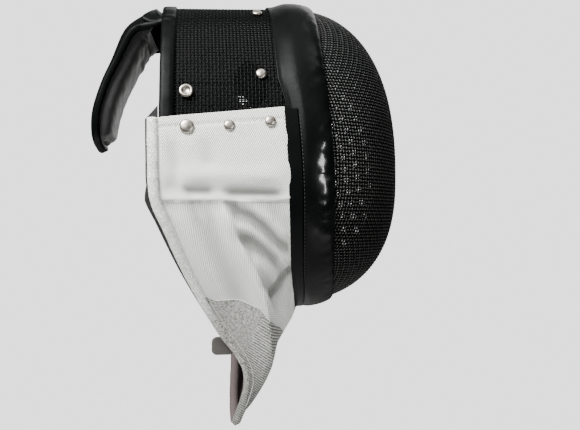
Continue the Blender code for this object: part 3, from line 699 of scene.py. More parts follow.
def waves(x, y, count, seed, spread=1.0):
    """Smooth uneven ripples: the mean of count sine waves with chosen random slants."""
    chance = np.random.default_rng(seed)
    total = 0.0
    for _ in range(count):
        slant, phase = chance.normal(0.0, spread), chance.uniform(0, 6.3)
        speed = chance.uniform(0.6, 1.7)
        total = total + np.sin(speed * (x + slant * y) + phase)
    return total / math.sqrt(count)


def band_across(across, angle):
    """Where a place across the band comes to lie: over the crown its rear half is wider."""
    up = body_point(band_fore(angle), angle)[..., 2]
    wide = np.clip((up + 105.0) / 35.0, 0.0, 1.0)
    return np.where(np.asarray(across) < 0.0, across * (1.0 + 0.4 * wide), across)


band_angles = np.linspace(0.0, 360.0, BAND_ROWS, endpoint=False)[:, None]
over = np.concatenate([[-1.0, -0.985], np.linspace(-0.95, 0.95, 44), [0.985, 1.0]])
under = np.linspace(0.97, -0.97, 8)
around_mm = np.radians(band_angles) * 130.0
side_on = np.exp(-(np.minimum(band_angles, 360.0 - band_angles) / SIDE_SPREAD) ** 2)
side_left = np.exp(-((band_angles - 180.0) / SIDE_SPREAD) ** 2)
pucker = waves(around_mm / 2.6, over * 5.0, 5, 11, 0.5) * np.clip(over - 0.1, 0.0, 0.5) / 0.5
broad = waves(around_mm / 9.0, over * 3.0, 4, 12, 0.8)
edge_pull = waves(around_mm / 4.5, over * 2.0, 4, 13, 0.3) * np.clip(over - 0.6, 0.0, 0.4) / 0.4
surface = (band_lift(over, band_angles) + 0.3 * pucker * (0.25 + side_on + side_left)
           + 0.16 * broad * (over > -0.8) + 0.2 * edge_pull)
surface[:, [0, -1]] = 0.6
band_grid = np.concatenate([over, under])
lifts = np.concatenate([surface, np.full((BAND_ROWS, len(under)), 0.45)], axis=1)
band_points = body_point(band_fore(band_angles, band_across(band_grid, band_angles)),
                         band_angles, lifts)
band_faces = grid_faces(BAND_ROWS, len(band_grid), closed=True)
wrap = np.arange(len(band_grid))
last_ring = (BAND_ROWS - 1) * len(band_grid)
band_close = np.stack([last_ring + wrap, last_ring + np.roll(wrap, -1), np.roll(wrap, -1), wrap],
                      axis=-1)
band_roll = add_piece("band_roll", band_points, np.concatenate([band_faces, band_close]), vinyl,
                      "black_vinyl", ["front_band"])


def stitch_row(path, normals, length, pitch, radius):
    """A row of stitches along a path of points: each is a short spindle with five rings of
    six points, fat in the middle, that lies along the path and dips in at its ends."""
    known = distances(path)
    starts = np.arange(pitch / 2, known[-1] - length, pitch)
    at = starts[:, None] + np.array([0.0, 0.15, 0.5, 0.85, 1.0]) * length
    centre = read_at(at, known, path)
    out = unit(read_at(at, known, normals))
    side = np.cross(unit(centre[:, -1:] - centre[:, :1]), out)
    centre = centre + out * (radius * np.array([-0.9, -0.1, 0.35, -0.1, -0.9]))[None, :, None]
    turns = np.arange(6) * math.pi / 3
    fat = np.array([0.25, 0.9, 1.0, 0.9, 0.25])[None, :, None, None] * radius
    ring = (np.cos(turns)[:, None] * side[:, :, None]
            + np.sin(turns)[:, None] * out[:, :, None]) * fat
    points = centre[:, :, None] + ring
    one = grid_faces(5, 6, closed=True)
    caps = np.array([(0, 1, 2, 3), (0, 3, 4, 5), (27, 26, 25, 24), (29, 28, 27, 24)])
    one = np.concatenate([one[:, ::-1], caps[:, ::-1]])
    faces = one[None] + 30 * np.arange(len(starts))[:, None, None]
    return points.reshape(-1, 3), faces.reshape(-1, 4)


def joined(parts):
    """Several (points, faces) as one."""
    starts = np.cumsum([0] + [len(p) for p, _ in parts[:-1]])
    return np.concatenate([p for p, _ in parts]), np.concatenate(
        [f + s for (_, f), s in zip(parts, starts)])


black_thread = plain_finish("black_thread", 0.6, (4, 4, 4), (14, 14, 14), (2500.0,))
thread_angles = np.linspace(162.0, 378.0, 560)
add_piece("band_thread", *joined([stitch_row(
    body_point(band_fore(thread_angles, band_across(across, thread_angles)), thread_angles,
               band_lift(np.array(across), thread_angles) + 0.05),
    body_normal(band_fore(thread_angles, across), thread_angles), 2.4, 3.3, 0.32)
    for across in (-0.72, -0.52)]), black_thread, "black_vinyl")


# ---- The bib --------------------------------------------------------------------------
# Several layers of white ribbed cotton, sewn to the sides of the crown under a black strip
# and hanging in a fold from the band to a point under the chin. Its top edge is hemmed, a
# puckered seam crosses each side, and the last third is grey conductive cloth.

CLOTH = 2.0
BIB_LIFT = 2.5
CLOTH_LIFT = BIB_LIFT + CLOTH
SEAM_ANGLE, TOP_ANGLE = -11.25, 18.75
ROW_SIZE, ALONG_SIZE = 115.0, 130.0      # millimetres that a step of 1 covers on the cloth
HEM_ROW, SEAM_ROW = 1.885, 1.0
EDGE_STITCH, EDGE_GROOVE = 0.925, 0.948
ROLL_RADIUS = 4.5
BINDING_PATH = np.array([
    # fore right, fore left, up,     half
    (6.5, 6.0, -390.0, 0.5),
    (8.0, 5.2, -386.0, 3.5),
    (13.8, 5.0, -368.0, 11.0),
    (17.0, 6.0, -350.0, 19.0),
    (15.0, 7.0, -332.0, 28.0),
    (5.5, 5.5, -313.0, 38.5),
    (-6.0, -6.0, -297.0, 47.5),
    (-23.5, -23.5, -267.0, 63.0),
    (-41.0, -41.0, -232.0, 82.0),
    (-56.0, -56.0, -197.0, 97.5),
    (-64.5, -64.5, -177.0, 104.5),
    (-66.8, -66.8, -160.0, 107.0),
    (-67.2, -67.2, -138.0, 107.0),
    (-67.8, -67.8, -108.0, 102.5),
])
BINDING_SEAM_UP = -177.0
KEEL = np.array([
    # fore,  up
    (64.5, -281.0),
    (61.5, -291.0),
    (50.0, -307.5),
    (40.5, -323.0),
    (36.5, -340.0),
    (31.0, -358.0),
    (20.0, -376.5),
    (6.0, -390.0),
])
RIDGE = np.array([
    # row,  along, height
    (0.00, 0.42, 0.0),
    (0.05, 0.46, 12.0),
    (0.10, 0.52, 22.0),
    (0.20, 0.61, 34.0),
    (0.26, 0.61, 36.0),
    (0.32, 0.57, 35.0),
    (0.44, 0.44, 30.0),
    (0.52, 0.405, 25.0),
    (0.60, 0.40, 21.0),
    (0.80, 0.47, 11.0),
    (1.00, 0.55, 2.5),
])
RIDGE_START = 0.08
TIP_EDGE = np.array([
    # row,  along
    (0.00, 0.20),
    (0.10, 0.225),
    (0.20, 0.27),
    (0.32, 0.355),
    (0.44, 0.465),
    (0.52, 0.490),
    (0.60, 0.66),
    (0.66, 1.0),
])


def smooth_path(points, count):
    """Runs a Catmull-Rom curve through the points and reads it at count even steps."""
    padded = np.vstack([2 * points[0] - points[1], points, 2 * points[-1] - points[-2]])
    steps = np.linspace(0.0, 1.0, 16, endpoint=False)[:, None]
    parts = []
    for a, b, c, d in zip(padded[:-3], padded[1:-2], padded[2:-1], padded[3:]):
        bend = (2 * a - 5 * b + 4 * c - d) * steps ** 2 + (3 * b - a - 3 * c + d) * steps ** 3
        parts.append(0.5 * (2 * b + (c - a) * steps + bend))
    curve = np.vstack(parts + [points[-1:]])
    known = distances(curve[:, :3])
    return read_at(np.linspace(0.0, known[-1], count), known, curve)


def along_path(path, share):
    """The path's points at shares of its length, the path being evenly stepped."""
    return read_at(share, np.linspace(0.0, 1.0, len(path)), path)


LINE_POINTS = 300


def binding_line(side):
    """The binding's centre line from the tip to a rear corner."""
    column = 0 if side == RIGHT else 1
    return smooth_path(BINDING_PATH[:, [3, column, 2]] * (side, -1.0, 1.0), LINE_POINTS)


def row_angle(row):
    """A row's share of the way from keel to seam, that from seam to top, and its angle."""
    lower, upper = np.clip(row, 0.0, 1.0), np.clip(row - 1.0, 0.0, 1.0)
    angle = -90.0 + (SEAM_ANGLE + 90.0) * lower + (TOP_ANGLE - SEAM_ANGLE) * upper
    return lower, upper, angle


def bib_surface(row, along, side):
    """Outer face of one half of the bib. A row is a straight line from the band (along 0)
    to the binding (along 1), bowed towards the keel low down, pushed out by the fold, and
    above the seam laid on the crown mesh. Row 0 is the keel, 1 the seam, 2 the top."""
    row, along = np.broadcast_arrays(np.asarray(row, float), np.asarray(along, float))
    lower, upper, angle = row_angle(row)
    start = body_point(band_fore(angle, -1.0) - 0.5, angle, CLOTH_LIFT) * (-side, 1.0, 1.0)
    line = binding_line(side)
    seam = np.interp(BINDING_SEAM_UP, line[:, 2], np.linspace(0.0, 1.0, len(line)))
    end = along_path(line, seam * lower ** 1.15 + (1.0 - seam) * upper)
    points = start + (end - start) * along[..., None]

    keel = along_path(smooth_path(KEEL, 120), along)
    keel = np.stack([np.zeros_like(along), -keel[..., 0], keel[..., 1]], axis=-1)
    chin = body_point(band_fore(-90.0, -1.0) - 0.5, -90.0, CLOTH_LIFT)
    bow = keel - chin - (line[0] - chin) * along[..., None]
    points += bow * ((1.0 - lower) ** 3)[..., None] * (0.0, 1.0, 1.0)

    crest = table(RIDGE, lower, 1, soft=0.05)
    height = table(RIDGE, lower, 2, soft=0.04) * (1.0 - upper) * np.clip(lower / 0.03, 0.0, 1.0)
    front = np.clip((along - RIDGE_START) / (crest - RIDGE_START), 0.0, 1.0)
    back = np.clip((along - crest) / (1.0 - crest), 0.0, 1.0)
    fold = np.where(along < crest, front ** 1.35, 1.0 - back ** 2.2)
    points[..., 0] += side * height * fold

    on_crown = body_point(-points[..., 1], angle_at(points[..., 2]), CLOTH_LIFT)
    on_crown = on_crown * (-side, 1.0, 1.0)
    laid = np.clip(upper * 6.0, 0.0, 1.0)
    laid = (laid * laid * (3.0 - 2.0 * laid))[..., None]
    return points * (1.0 - laid) + on_crown * laid


def outward_normals(points):
    """Unit normals of a grid, from its neighbours."""
    return unit(np.cross(np.gradient(points, axis=0), np.gradient(points, axis=1)))


def dent(row, along, path, width, depth):
    """A dent along a path of (row, along) places on the bib: a rounded valley of the given
    width and depth in millimetres, that fades at both ends. Its depth falls off with the
    squared distance to the nearest of 60 points on the path."""
    corners = np.array(path) * (ROW_SIZE, ALONG_SIZE)
    known = distances(corners)
    share = np.linspace(0.0, 1.0, 60)
    points = read_at(share * known[-1], known, corners)
    off = np.hypot(row[..., None] * ROW_SIZE - points[:, 0],
                   along[..., None] * ALONG_SIZE - points[:, 1])
    fade = np.clip(np.minimum(share, 1.0 - share) * 6.0 + 0.15, 0.0, 1.0)
    return -depth * (np.exp(-(off / width) ** 2) * fade).max(axis=-1)


BIB_CREASES = [
    # path of (row, along) places, width, depth: a valley, or a ridge if the depth is negative
    ([(0.865, 0.50), (0.84, 0.41), (0.80, 0.32), (0.75, 0.23), (0.67, 0.13)], 4.6, 3.6),
    ([(0.98, 0.48), (0.955, 0.42), (0.93, 0.34), (0.88, 0.25), (0.80, 0.15), (0.71, 0.03)],
     4.8, 3.8),
    ([(0.92, 0.49), (0.90, 0.45), (0.88, 0.35), (0.82, 0.265), (0.74, 0.16), (0.66, 0.06)],
     4.6, -3.2),
    ([(1.0, 0.45), (0.985, 0.38), (0.965, 0.30), (0.92, 0.21), (0.80, 0.06)], 4.6, -2.6),
    ([(0.75, 0.38), (0.68, 0.28), (0.61, 0.20)], 6.0, -2.4),
    ([(0.635, 0.01), (0.60, 0.10), (0.56, 0.22), (0.53, 0.33)], 3.2, 4.0),
    ([(0.50, 0.10), (0.40, 0.22)], 9.0, -2.5),
    ([(1.14, 0.76), (1.14, 0.60)], 7.0, 3.4),
    ([(1.13, 0.50), (1.12, 0.30), (1.10, 0.08)], 7.5, 4.0),
    ([(1.32, 0.80), (1.34, 0.45), (1.32, 0.10)], 11.0, -2.6),
    ([(1.70, 0.62), (1.45, 0.60)], 9.0, 1.6),
    ([(1.72, 0.86), (1.35, 0.84), (1.12, 0.88)], 7.0, 2.0),
    ([(0.98, 0.70), (0.56, 0.66)], 12.0, 1.8),
    ([(0.95, 0.84), (0.55, 0.86)], 8.0, -1.6),
]
FOLD_LINE = np.array([
    # row, along: the sharp fold from the seam down towards the tip
    (0.0, 0.36),
    (0.30, 0.36),
    (0.53, 0.365),
    (0.685, 0.395),
    (0.805, 0.455),
    (0.92, 0.50),
    (1.05, 0.545),
])


def bib_relief(row, along):
    """Height of the cloth above its plain surface, in millimetres: the creases, the sunk
    and puckered seam, the sunk stitch row of the hem and slight unevenness."""
    across, height = along * ALONG_SIZE, row * ROW_SIZE
    total = 0.25 * waves(across / 22.0, height / 16.0, 5, 21)
    for path, width, depth in BIB_CREASES:
        total = total + dent(row, along, path, width, depth)
    beyond = (table(FOLD_LINE, row, soft=0.03) - along) * ALONG_SIZE
    folded = np.clip((row - 0.42) / 0.12, 0.0, 1.0) * np.clip((1.01 - row) / 0.06, 0.0, 1.0)
    sharp = np.where(beyond > 0.0, 1.0 - np.exp(-beyond / 3.5), 0.0) * np.exp(-beyond / 45.0)
    total = total + folded * (2.2 * np.exp(-np.abs(beyond) / 9.0) - 3.6 * sharp)
    near_seam = np.exp(-((row - 1.0) / 0.035) ** 2)
    total = total + near_seam * (-1.3 + 0.45 * waves(across / 2.2, height / 9.0, 4, 22, 0.2))
    beside = np.exp(-((np.abs(row - 1.0) - 0.06) / 0.04) ** 2)
    total = total + 0.4 * beside * waves(across / 3.1, height / 12.0, 4, 23, 0.3)
    total = total + 0.7 / (1.0 + np.exp((1.0 - row) / 0.004))
    hem = np.exp(-((row - HEM_ROW) / 0.02) ** 2)
    total = total + hem * (-0.9 + 0.3 * waves(across / 1.6, height / 5.0, 3, 24, 0.2))
    total = total - 1.3 * np.exp(-((along - EDGE_GROOVE) / 0.016) ** 2)
    return total * np.clip(along / 0.06, 0.0, 1.0) * np.clip((1.0 - along) / 0.05, 0.0, 1.0)


def cloth_rows(rows, columns, start, stop, side):
    """A grid of one half of the bib between two functions of the row, with its relief. Also
    the place of each point on the flat cloth, in metres, and the painted shade in its hollows."""
    first, last = start(rows)[:, None], stop(rows)[:, None]
    along = first + (last - first) * np.linspace(0.0, 1.0, columns)
    row = np.broadcast_to(rows[:, None], along.shape)
    points = bib_surface(row, along, side)
    normal = outward_normals(points) * -side
    height = bib_relief(row, along)
    points = points + normal * height[..., None]
    flat = np.stack([along * ALONG_SIZE, row * ROW_SIZE], axis=-1) * MM
    # The last is painted shade: darker where the relief sinks the cloth.
    return points, normal, flat, np.clip(0.1 - height / 3.6, 0.0, 1.0)


def add_cloth(name, rows, columns, start, stop, material, slot, nodes):
    """Both halves of a piece of the bib from one upper edge round the keel to the other,
    with the inside cloth on the back."""
    right = cloth_rows(rows, columns, start, stop, RIGHT)
    left = cloth_rows(rows, columns, start, stop, LEFT)
    for grid in right[:2]:
        grid[0, :, 0] = 0.0
    left[2][..., 1] *= -1.0
    # The fourth grid is the painted shade in the creases.
    points, out, uv, crease_shade_amount = [np.concatenate([r[::-1], l[1:]]) for r, l in zip(right, left)]
    shell, faces = closed_shell(points, points - out * CLOTH)
    made = add_piece(name, shell, faces[:, ::-1], material, slot, nodes,
                     uv=np.concatenate([uv, uv]), painted_glint_and_shade=np.concatenate([crease_shade_amount, crease_shade_amount]))
    made.data.materials.append(inside_cloth)
    one_side = (points.shape[0] - 1) * (points.shape[1] - 1)
    made.data.polygons.foreach_set("material_index", np.where(
        np.arange(len(faces)) // one_side == 1, 1, 0))
    return made


white_cloth, white_shader, white_place = new_finish("white_ribbed_cotton", 0.88)
TWILL = 2 * math.pi / 0.0019
flat_place = white_place.node("UVMap", {"uv_map": "cloth"})
twill = (flat_place.axis(0) * (TWILL * 0.95) + flat_place.axis(1) * (TWILL * 0.45)).sine()
cross = (flat_place.axis(0) * (TWILL * 0.6) - flat_place.axis(1) * (TWILL * 1.1)).sine()
weave = twill * 0.38 + cross * 0.16 + 0.5
# Painted shade: the cloth is mixed towards grey in its creases and hollows.
crease_shade = white_place.node("Attribute", {"attribute_name": "painted_glint_and_shade"}, 2)
patchy = white_place.noise(28.0, 4.0)
fleck = white_place.noise(1600.0, 2.0)
unshaded_cloth = (weave * 0.75 + fleck * 0.25 + patchy * 0.2 - 0.1).clamp().mix(
    rgb(170, 171, 166), rgb(240, 240, 236))
feed(white_shader, "Base Color", (crease_shade * 0.85).clamp().mix(unshaded_cloth, rgb(128, 129, 124)))
relief(white_shader, weave + fleck * 0.3, 0.0006)

grey_cloth, grey_shader, grey_place = new_finish("grey_ribbed_conductive_cloth", 0.55, 0.25)
flat_place = grey_place.node("UVMap", {"uv_map": "cloth"})
RIBS = 2 * math.pi / 0.0024


def slanting_ribs(place):
    """The height of ribs that run down to the front, between -1 and 1."""
    return (place.axis(2) * (RIBS * 0.86) - place.axis(1) * (RIBS * 0.52)).sine()


ribs = slanting_ribs(grey_place) * 0.5 + 0.5
coarse_part = (flat_place.axis(1) * 8.7 + flat_place.axis(0) * 1.69).step(0.57, 0.60)
ribs = coarse_part.node("Mix", {"data_type": "FLOAT"}, 0, Factor=coarse_part, in2=ribs, in3=0.5)
grain = grey_place.noise(520.0, 3.0, 0.75).step(0.36, 0.64)
lifted = (ribs * 0.75 + grain * 0.55 - 0.25).clamp()
upper_grey = lifted.mix(rgb(70, 70, 66), rgb(196, 196, 190))
lower_grey = lifted.mix(rgb(10, 10, 9), rgb(92, 92, 87))
# The grey cloth is darker towards the bottom of the point.
lighter_above = grey_place.axis(2).step(-0.375, -0.295)
feed(grey_shader, "Base Color", lighter_above.mix(lower_grey, upper_grey))
feed(grey_shader, "Roughness", 0.7 - ribs * 0.25)
relief(grey_shader, ribs + grain * 0.6, 0.0007)

fine_rows = np.concatenate([np.linspace(0.0, 0.9, 110), np.linspace(0.905, 1.1, 40),
                            np.linspace(1.11, 1.84, 40), np.linspace(1.85, 2.0, 16)])
tip_stop = TIP_EDGE[-1, 0]


def seam_line(rows):
    """Where white cloth gives way to grey on each row."""
    return np.where(rows < tip_stop, table(TIP_EDGE, rows, soft=0.015), 1.0)


# The inside faces of the bib and of the binding are a darker brown-grey than the outside.
inside_cloth = plain_finish("brown_grey_inside_cloth", 0.9, (48, 41, 40), (92, 81, 80),
                            (1000.0, 3.0), 0.0004)
bib_cloth = add_cloth("bib_cloth", fine_rows, 84, np.zeros_like, seam_line,
                      white_cloth, "white_cloth", ["bib"])
bib_point = add_cloth("bib_point", np.linspace(0.0, tip_stop - 0.004, 90), 60, seam_line,
                      np.ones_like, grey_cloth, "grey_cloth", ["bib_tip"])

white_thread = plain_finish("white_thread", 0.7, (186, 186, 178), (226, 226, 220), (2500.0,))


def bib_line(rows, along, side, raise_by):
    """Points and outward normals along a line on the bib, from its row and along."""
    step = 0.004
    here = bib_surface(rows, along, side)
    normal = unit(np.cross(bib_surface(rows + step, along, side) - here,
                           bib_surface(rows, along + step, side) - here) * -side)
    return here + normal * (bib_relief(rows, along)[..., None] + raise_by), normal


hem_along = np.linspace(0.03, 0.95, 120)
edge_rows = np.linspace(0.04, 1.98, 300)
tip_rows = np.linspace(0.02, tip_stop - 0.02, 200)
add_piece("bib_thread", *joined([
    stitch_row(*bib_line(np.full(120, row), hem_along, side, 0.05), 2.2, 3.0, 0.28)
    for side in (RIGHT, LEFT) for row in (HEM_ROW, SEAM_ROW)] + [
    stitch_row(*bib_line(edge_rows, np.full(300, EDGE_STITCH), side, 0.05), 2.2, 2.6, 0.28)
    for side in (RIGHT, LEFT)] + [
    stitch_row(*bib_line(tip_rows, seam_line(tip_rows), side, 0.1), 2.2, 2.4, 0.34)
    for side in (RIGHT, LEFT)]), white_thread, "white_cloth")


# ---- The binding ----------------------------------------------------------------------
# The bib's own cloth rolled over a cord and sewn down, along its whole lower edge. Below
# the white cloth it is covered with the grey conductive cloth.

line = np.vstack([binding_line(RIGHT)[:0:-1], binding_line(LEFT)])
line[LINE_POINTS - 1, 0] = 0.0
line[:, 0] -= np.sign(line[:, 0]) * np.minimum(np.abs(line[:, 0]), CLOTH / 2)
line[:, 1] -= 1.1
ROLL_SIDES = 20


def ring_points(first, second, sides):
    """Unit rings of points that turn from the first of two directions to the second."""
    turns = np.arange(sides)[:, None] * 2 * math.pi / sides
    return np.cos(turns) * first + np.sin(turns) * second


binding_step = np.arange(len(line))
binding_radii = ROLL_RADIUS + 0.12 * waves(binding_step / 3.0, binding_step * 0.0, 4, 31)
line_along = unit(np.gradient(line, axis=0))
line_side = unit(np.cross(line_along, (1.0, 0.0, 0.0)))
roll_rings = ring_points(line_side[:, None], np.cross(line_side, line_along)[:, None], ROLL_SIDES)
binding_points = line[:, None] + roll_rings * binding_radii[:, None, None]
binding_faces = tube_faces(len(line), ROLL_SIDES)
from_middle = (binding_points - line[:, None])[..., 0]
inner = (from_middle * np.sign(line[:, :1]) < -0.2 * ROLL_RADIUS)[:-1].ravel()
inner = np.append(inner, np.zeros(len(binding_faces) - len(inner), bool))
binding_cloth, binding_shader, binding_place = new_finish("binding_cloth", 0.85)
below = 1.0 - binding_place.axis(2).step(-0.290, -0.262)
coarse = binding_place.noise(520.0, 3.0, 0.75).step(0.34, 0.66)
white_part = coarse.mix(rgb(188, 188, 182), rgb(242, 242, 238))
grey_part = coarse.mix(rgb(80, 79, 74), rgb(200, 199, 192))
tip_ribs = slanting_ribs(binding_place)
dark_part = (tip_ribs * 0.35 + 0.5 + coarse * 0.2).clamp().mix(
    rgb(18, 18, 17), rgb(136, 136, 130))
tip_end = 1.0 - binding_place.axis(2).step(-0.375, -0.325)
feed(binding_shader, "Base Color", below.mix(white_part, tip_end.mix(grey_part, dark_part)))
relief(binding_shader, coarse, 0.0007)
binding_roll = add_piece("binding_roll", binding_points, binding_faces, binding_cloth,
                         "white_cloth", ["bib_binding"])
binding_roll.data.materials.append(inside_cloth)
binding_roll.data.polygons.foreach_set("material_index", inner.astype(int))


# ---- The strips over the bib's front edge ---------------------------------------------
# A black strip on each side holds the bib's front edge to the band. It is sewn through and
# cut square at the bib's top edge.

STRIP_GAP = 0.4
STRIP_ROWS = np.linspace(0.0, 2.0, 190)[:, None]
for side, word in ((RIGHT, "right"), (LEFT, "left")):
    angle = row_angle(STRIP_ROWS)[2]
    on_cloth = bib_surface(STRIP_ROWS, np.array([0.036, 0.027, 0.018, 0.009, 0.0]), RIGHT)
    out = body_normal(band_fore(angle), angle)
    across = np.linspace(-0.93, -0.6, 7)
    lift = np.maximum(CLOTH_LIFT, band_lift(across, angle)) + STRIP_GAP
    on_band = body_point(band_fore(angle, across), angle, lift)
    base = np.concatenate([on_cloth + out * STRIP_GAP, on_band], axis=1)
    crown = 1.0 - np.abs(np.linspace(-1.0, 1.0, base.shape[1])) ** 4
    top = base + outward_normals(base) * (0.5 + 0.7 * crown)[None, :, None]
    base, top = base * (-side, 1.0, 1.0), top * (-side, 1.0, 1.0)
    if side == LEFT:
        base, top = base[::-1], top[::-1]
    add_piece(f"edge_strip_{word}", *closed_shell(top, base), vinyl, "black_vinyl",
              [f"bib_edge_strip_{word}"])


# ---- The lining -----------------------------------------------------------------------
# Dark cloth inside the bib's rear edge, which shows as a line behind the binding and as a
# corner above it.

LINING_INSET, LINING_THICK, CORNER_RISE = 5.8, 1.4, 12.0
LINING_ROWS = np.linspace(0.44, 2.0, 120)[:, None]
for side, word in ((RIGHT, "right"), (LEFT, "left")):
    beside_crown = np.clip((LINING_ROWS - 0.85) / 0.15, 0.0, 1.0)
    first = 0.80 + (0.955 - 0.80) * beside_crown
    last = 1.045 + 0.03 * np.clip((1.2 - LINING_ROWS) / 0.2, 0.0, 1.0)
    along = first + (last - first) * np.linspace(0.0, 1.0, 12)
    points = bib_surface(LINING_ROWS, along, side)
    out = outward_normals(points) * -side
    inset = np.interp(along, (0.8, 0.95), (CLOTH + 1.4, LINING_INSET))[..., None]
    points = points - out * inset
    rise = np.linspace(0.1, 1.0, 6)[:, None] * (CORNER_RISE * np.linspace(1.0, 0.1, 12))
    corner = points[-1:] + rise[..., None] * np.array([0.0, 0.0, 1.0])
    points = np.concatenate([points, corner])
    out = np.concatenate([out, np.repeat(out[-1:], 6, axis=0)])
    outer, inner = points, points - out * LINING_THICK
    if side == RIGHT:
        outer, inner = outer[::-1], inner[::-1]
    lining = add_piece(f"lining_{word}", *closed_shell(outer, inner), felt, "black_felt",
                       [f"bib_lining_{word}"])


# ---- The tab --------------------------------------------------------------------------
# A small rounded tab of dark grey plastic-backed cloth inside the right half of the bib.

TAB_FORE, TAB_UP, TAB_HALF = -6.5, -309.0, 34.3
TAB_LENGTH, TAB_HEIGHT, TAB_CORNER, TAB_SIDES = 21.0, 17.0, 5.0, 48
turns = np.linspace(0.0, 2 * math.pi, TAB_SIDES, endpoint=False) + 0.01
centre = np.stack([np.sign(np.cos(turns)) * (TAB_LENGTH / 2 - TAB_CORNER),
                   np.sign(np.sin(turns)) * (TAB_HEIGHT / 2 - TAB_CORNER)], axis=-1)
edge = centre + TAB_CORNER * np.stack([np.cos(turns), np.sin(turns)], axis=-1)
TAB_LAYERS = np.array([
    # share of the outline, depth inwards
    (0.02, 0.0),
    (0.86, 0.0),
    (0.96, 0.25),
    (1.0, 0.7),
    (1.0, 1.4),
    (0.95, 1.85),
    (0.86, 2.0),
    (0.02, 2.0),
])
tab_points = np.stack([
    np.broadcast_to(-TAB_HALF + TAB_LAYERS[:, 1:], (len(TAB_LAYERS), TAB_SIDES)),
    -(TAB_FORE + TAB_LAYERS[:, :1] * edge[:, 0]), TAB_UP + TAB_LAYERS[:, :1] * edge[:, 1]], axis=-1)
tab_finish = plain_finish("dark_grey_tab", 0.6, (30, 28, 26), (66, 63, 59), (700.0, 4.0), 0.0003)
add_piece("tab_plate", tab_points, tube_faces(len(TAB_LAYERS), TAB_SIDES), tab_finish,
          "grey_cloth", ["bib_tab"])


# ---- The tongue -----------------------------------------------------------------------
# A bent strip of spring steel in a padded black cover, held inside the rear rim, with a
# soft grey cushion on the side of the head that wrinkles at the bend.

TONGUE_PATH = np.array([
    # fore,   up,   half, thick, drop
    (-51.5, 6.2, 38.0, 3.0, 15.5),
    (-62.0, 6.8, 42.0, 4.0, 15.0),
    (-68.5, 10.2, 50.0, 8.0, 13.5),
    (-78.0, 5.0, 50.0, 10.0, 12.0),
    (-87.0, -1.0, 49.0, 11.0, 10.0),
    (-95.5, -8.5, 46.0, 11.0, 8.0),
    (-102.3, -20.0, 44.0, 10.5, 6.0),
    (-110.5, -43.0, 41.0, 9.5, 4.0),
    (-117.8, -60.5, 40.0, 9.0, 3.0),
    (-124.5, -79.5, 40.0, 9.0, 3.0),
    (-128.0, -94.5, 39.0, 9.0, 3.0),
    (-128.5, -109.0, 36.0, 9.0, 3.0),
    (-127.0, -119.0, 30.0, 9.0, 3.0),
    (-123.0, -127.0, 15.0, 8.0, 2.0),
])
CUSHION = np.array([
    # share, thickness
    (0.20, 1.5),
    (0.24, 9.0),
    (0.34, 15.5),
    (0.48, 14.0),
    (0.62, 13.5),
    (0.80, 13.0),
    (0.90, 10.0),
    (0.95, 3.0),
])


def tongue_points(rows, out, half, depth):
    """Points at distances from the middle and depths under the outer face, which falls
    away from the middle by drop at 40 mm."""
    depth = depth + rows[:, 4:5] * (half / 40.0) ** 2
    return np.stack([half, -(rows[:, :1] - out[:, :1] * depth),
                     rows[:, 1:2] - out[:, 1:] * depth], axis=-1)


COVER_ROWS, COVER_SIDES = 130, 56
CUSHION_ROWS, CUSHION_SIDES = 110, 72
tongue_path = smooth_path(TONGUE_PATH, COVER_ROWS)
tongue_heading = unit(np.gradient(tongue_path[:, :2], axis=0))
tongue_out = np.column_stack([tongue_heading[:, 1], -tongue_heading[:, 0]])
turns = np.arange(COVER_SIDES) * 2 * math.pi / COVER_SIDES
wide = signed_power(np.cos(turns), 0.5)
deep = 0.5 - 0.5 * signed_power(np.sin(turns), 0.5)
cover = tongue_points(tongue_path, tongue_out, tongue_path[:, 2:3] * wide,
                      tongue_path[:, 3:4] * deep)
tongue_cover = add_piece("tongue_cover", cover, tube_faces(COVER_ROWS, COVER_SIDES), vinyl,
                         "black_vinyl", ["tongue"])

share = np.linspace(CUSHION[0, 0], CUSHION[-1, 0], CUSHION_ROWS)
rows, out = along_path(tongue_path, share), along_path(tongue_out, share)
turns = np.arange(CUSHION_SIDES) * 2 * math.pi / CUSHION_SIDES
wide = 0.86 * signed_power(np.cos(turns), 0.7)
bulge = np.where(np.sin(turns) < 0, 0.0, np.abs(np.sin(turns)) ** 0.6)
thick = table(CUSHION, share, soft=0.02)[:, None]
crumple = waves(share[:, None] * 60.0, wide * 6.0, 6, 41, 0.8)
bend = np.exp(-((share[:, None] - 0.36) / 0.09) ** 2)
depth = (rows[:, 3:4] - 1.5 + (thick + 1.5) * bulge
         + bulge * crumple * (0.25 + 1.3 * bend))
cushion_points = tongue_points(rows, out, rows[:, 2:3] * wide, depth)
velvet = plain_finish("grey_velvet", 0.8, (16, 16, 16), (44, 44, 44), (500.0, 4.0), 0.0004,
                      Sheen_Weight=0.6, Sheen_Roughness=0.35)
cushion = add_piece("tongue_cushion", cushion_points,
                    tube_faces(CUSHION_ROWS, CUSHION_SIDES)[:, ::-1], velvet, "grey_velvet",
                    ["tongue_lining"])


# ---- The rivets -----------------------------------------------------------------------
# Domed nickel-plated rivets that pin the padding to the wire and the bib to the crown. The
# rear one on the wire is hollow.

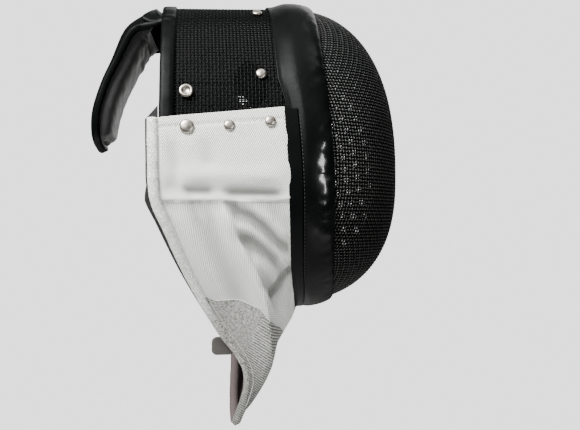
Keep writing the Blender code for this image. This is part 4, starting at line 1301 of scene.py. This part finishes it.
LARGE_RIVET, SMALL_RIVET, RIVET_SIDES = 6.1, 4.8, 28
RIVETS = {
    # name: (fore, up, radius, lift)
    "rear": (-39.5, -83.5, LARGE_RIVET, 0.5),
    "side": (24.0, -66.5, SMALL_RIVET, 0.5),
    "top": (24.5, -1.0, SMALL_RIVET, 0.5),
    "bib_rear": (-38.5, -115.5, LARGE_RIVET, 5.0),
    "bib_middle": (-4.0, -114.0, SMALL_RIVET, 5.0),
    "bib_front": (30.0, -110.0, SMALL_RIVET, 5.0),
}
DOME = np.array([
    # share of the radius, height in millimetres
    (0.90, -1.2),
    (0.94, 0.2),
    (0.99, 0.6),
    (1.0, 1.0),
    (0.97, 1.4),
    (0.89, 1.9),
    (0.74, 2.35),
    (0.52, 2.65),
    (0.26, 2.8),
    (0.02, 2.85),
])
HOLLOW = np.array([
    # share of the radius, height in millimetres
    (0.90, -1.2),
    (0.95, 0.3),
    (1.0, 0.9),
    (0.98, 1.5),
    (0.90, 2.1),
    (0.74, 2.4),
    (0.60, 2.2),
    (0.50, 1.2),
    (0.40, 0.7),
    (0.02, 0.6),
])
nickel, nickel_shader, nickel_place = new_finish("nickel_plate", 0.4, 1.0)
tarnish = nickel_place.noise(420.0, 4.0)
feed(nickel_shader, "Base Color", tarnish.mix(rgb(118, 111, 103), rgb(190, 184, 175)))
feed(nickel_shader, "Roughness", tarnish * 0.2 + 0.25)
relief(nickel_shader, nickel_place.noise(900.0, 2.0), 0.00008)
for name, (fore, up, radius, lift) in RIVETS.items():
    profile = HOLLOW if name == "rear" else DOME
    angle = angle_at(up, fore)
    seat, axis = body_point(fore, angle, lift), body_normal(fore, angle)
    across = unit(np.cross(axis, (0.0, 1.0, 0.0)))
    ring = ring_points(across, np.cross(axis, across), RIVET_SIDES)
    points = seat + profile[:, 0, None, None] * radius * ring + profile[:, 1, None, None] * axis
    faces = tube_faces(len(profile), RIVET_SIDES)
    for side, word in ((RIGHT, "right"), (LEFT, "left")):
        turned = faces if side == RIGHT else faces[:, ::-1]
        add_piece(f"stud_{name}_{word}", points * (-side, 1.0, 1.0), turned, nickel, "nickel",
                  [f"rivet_{name}_{word}"])
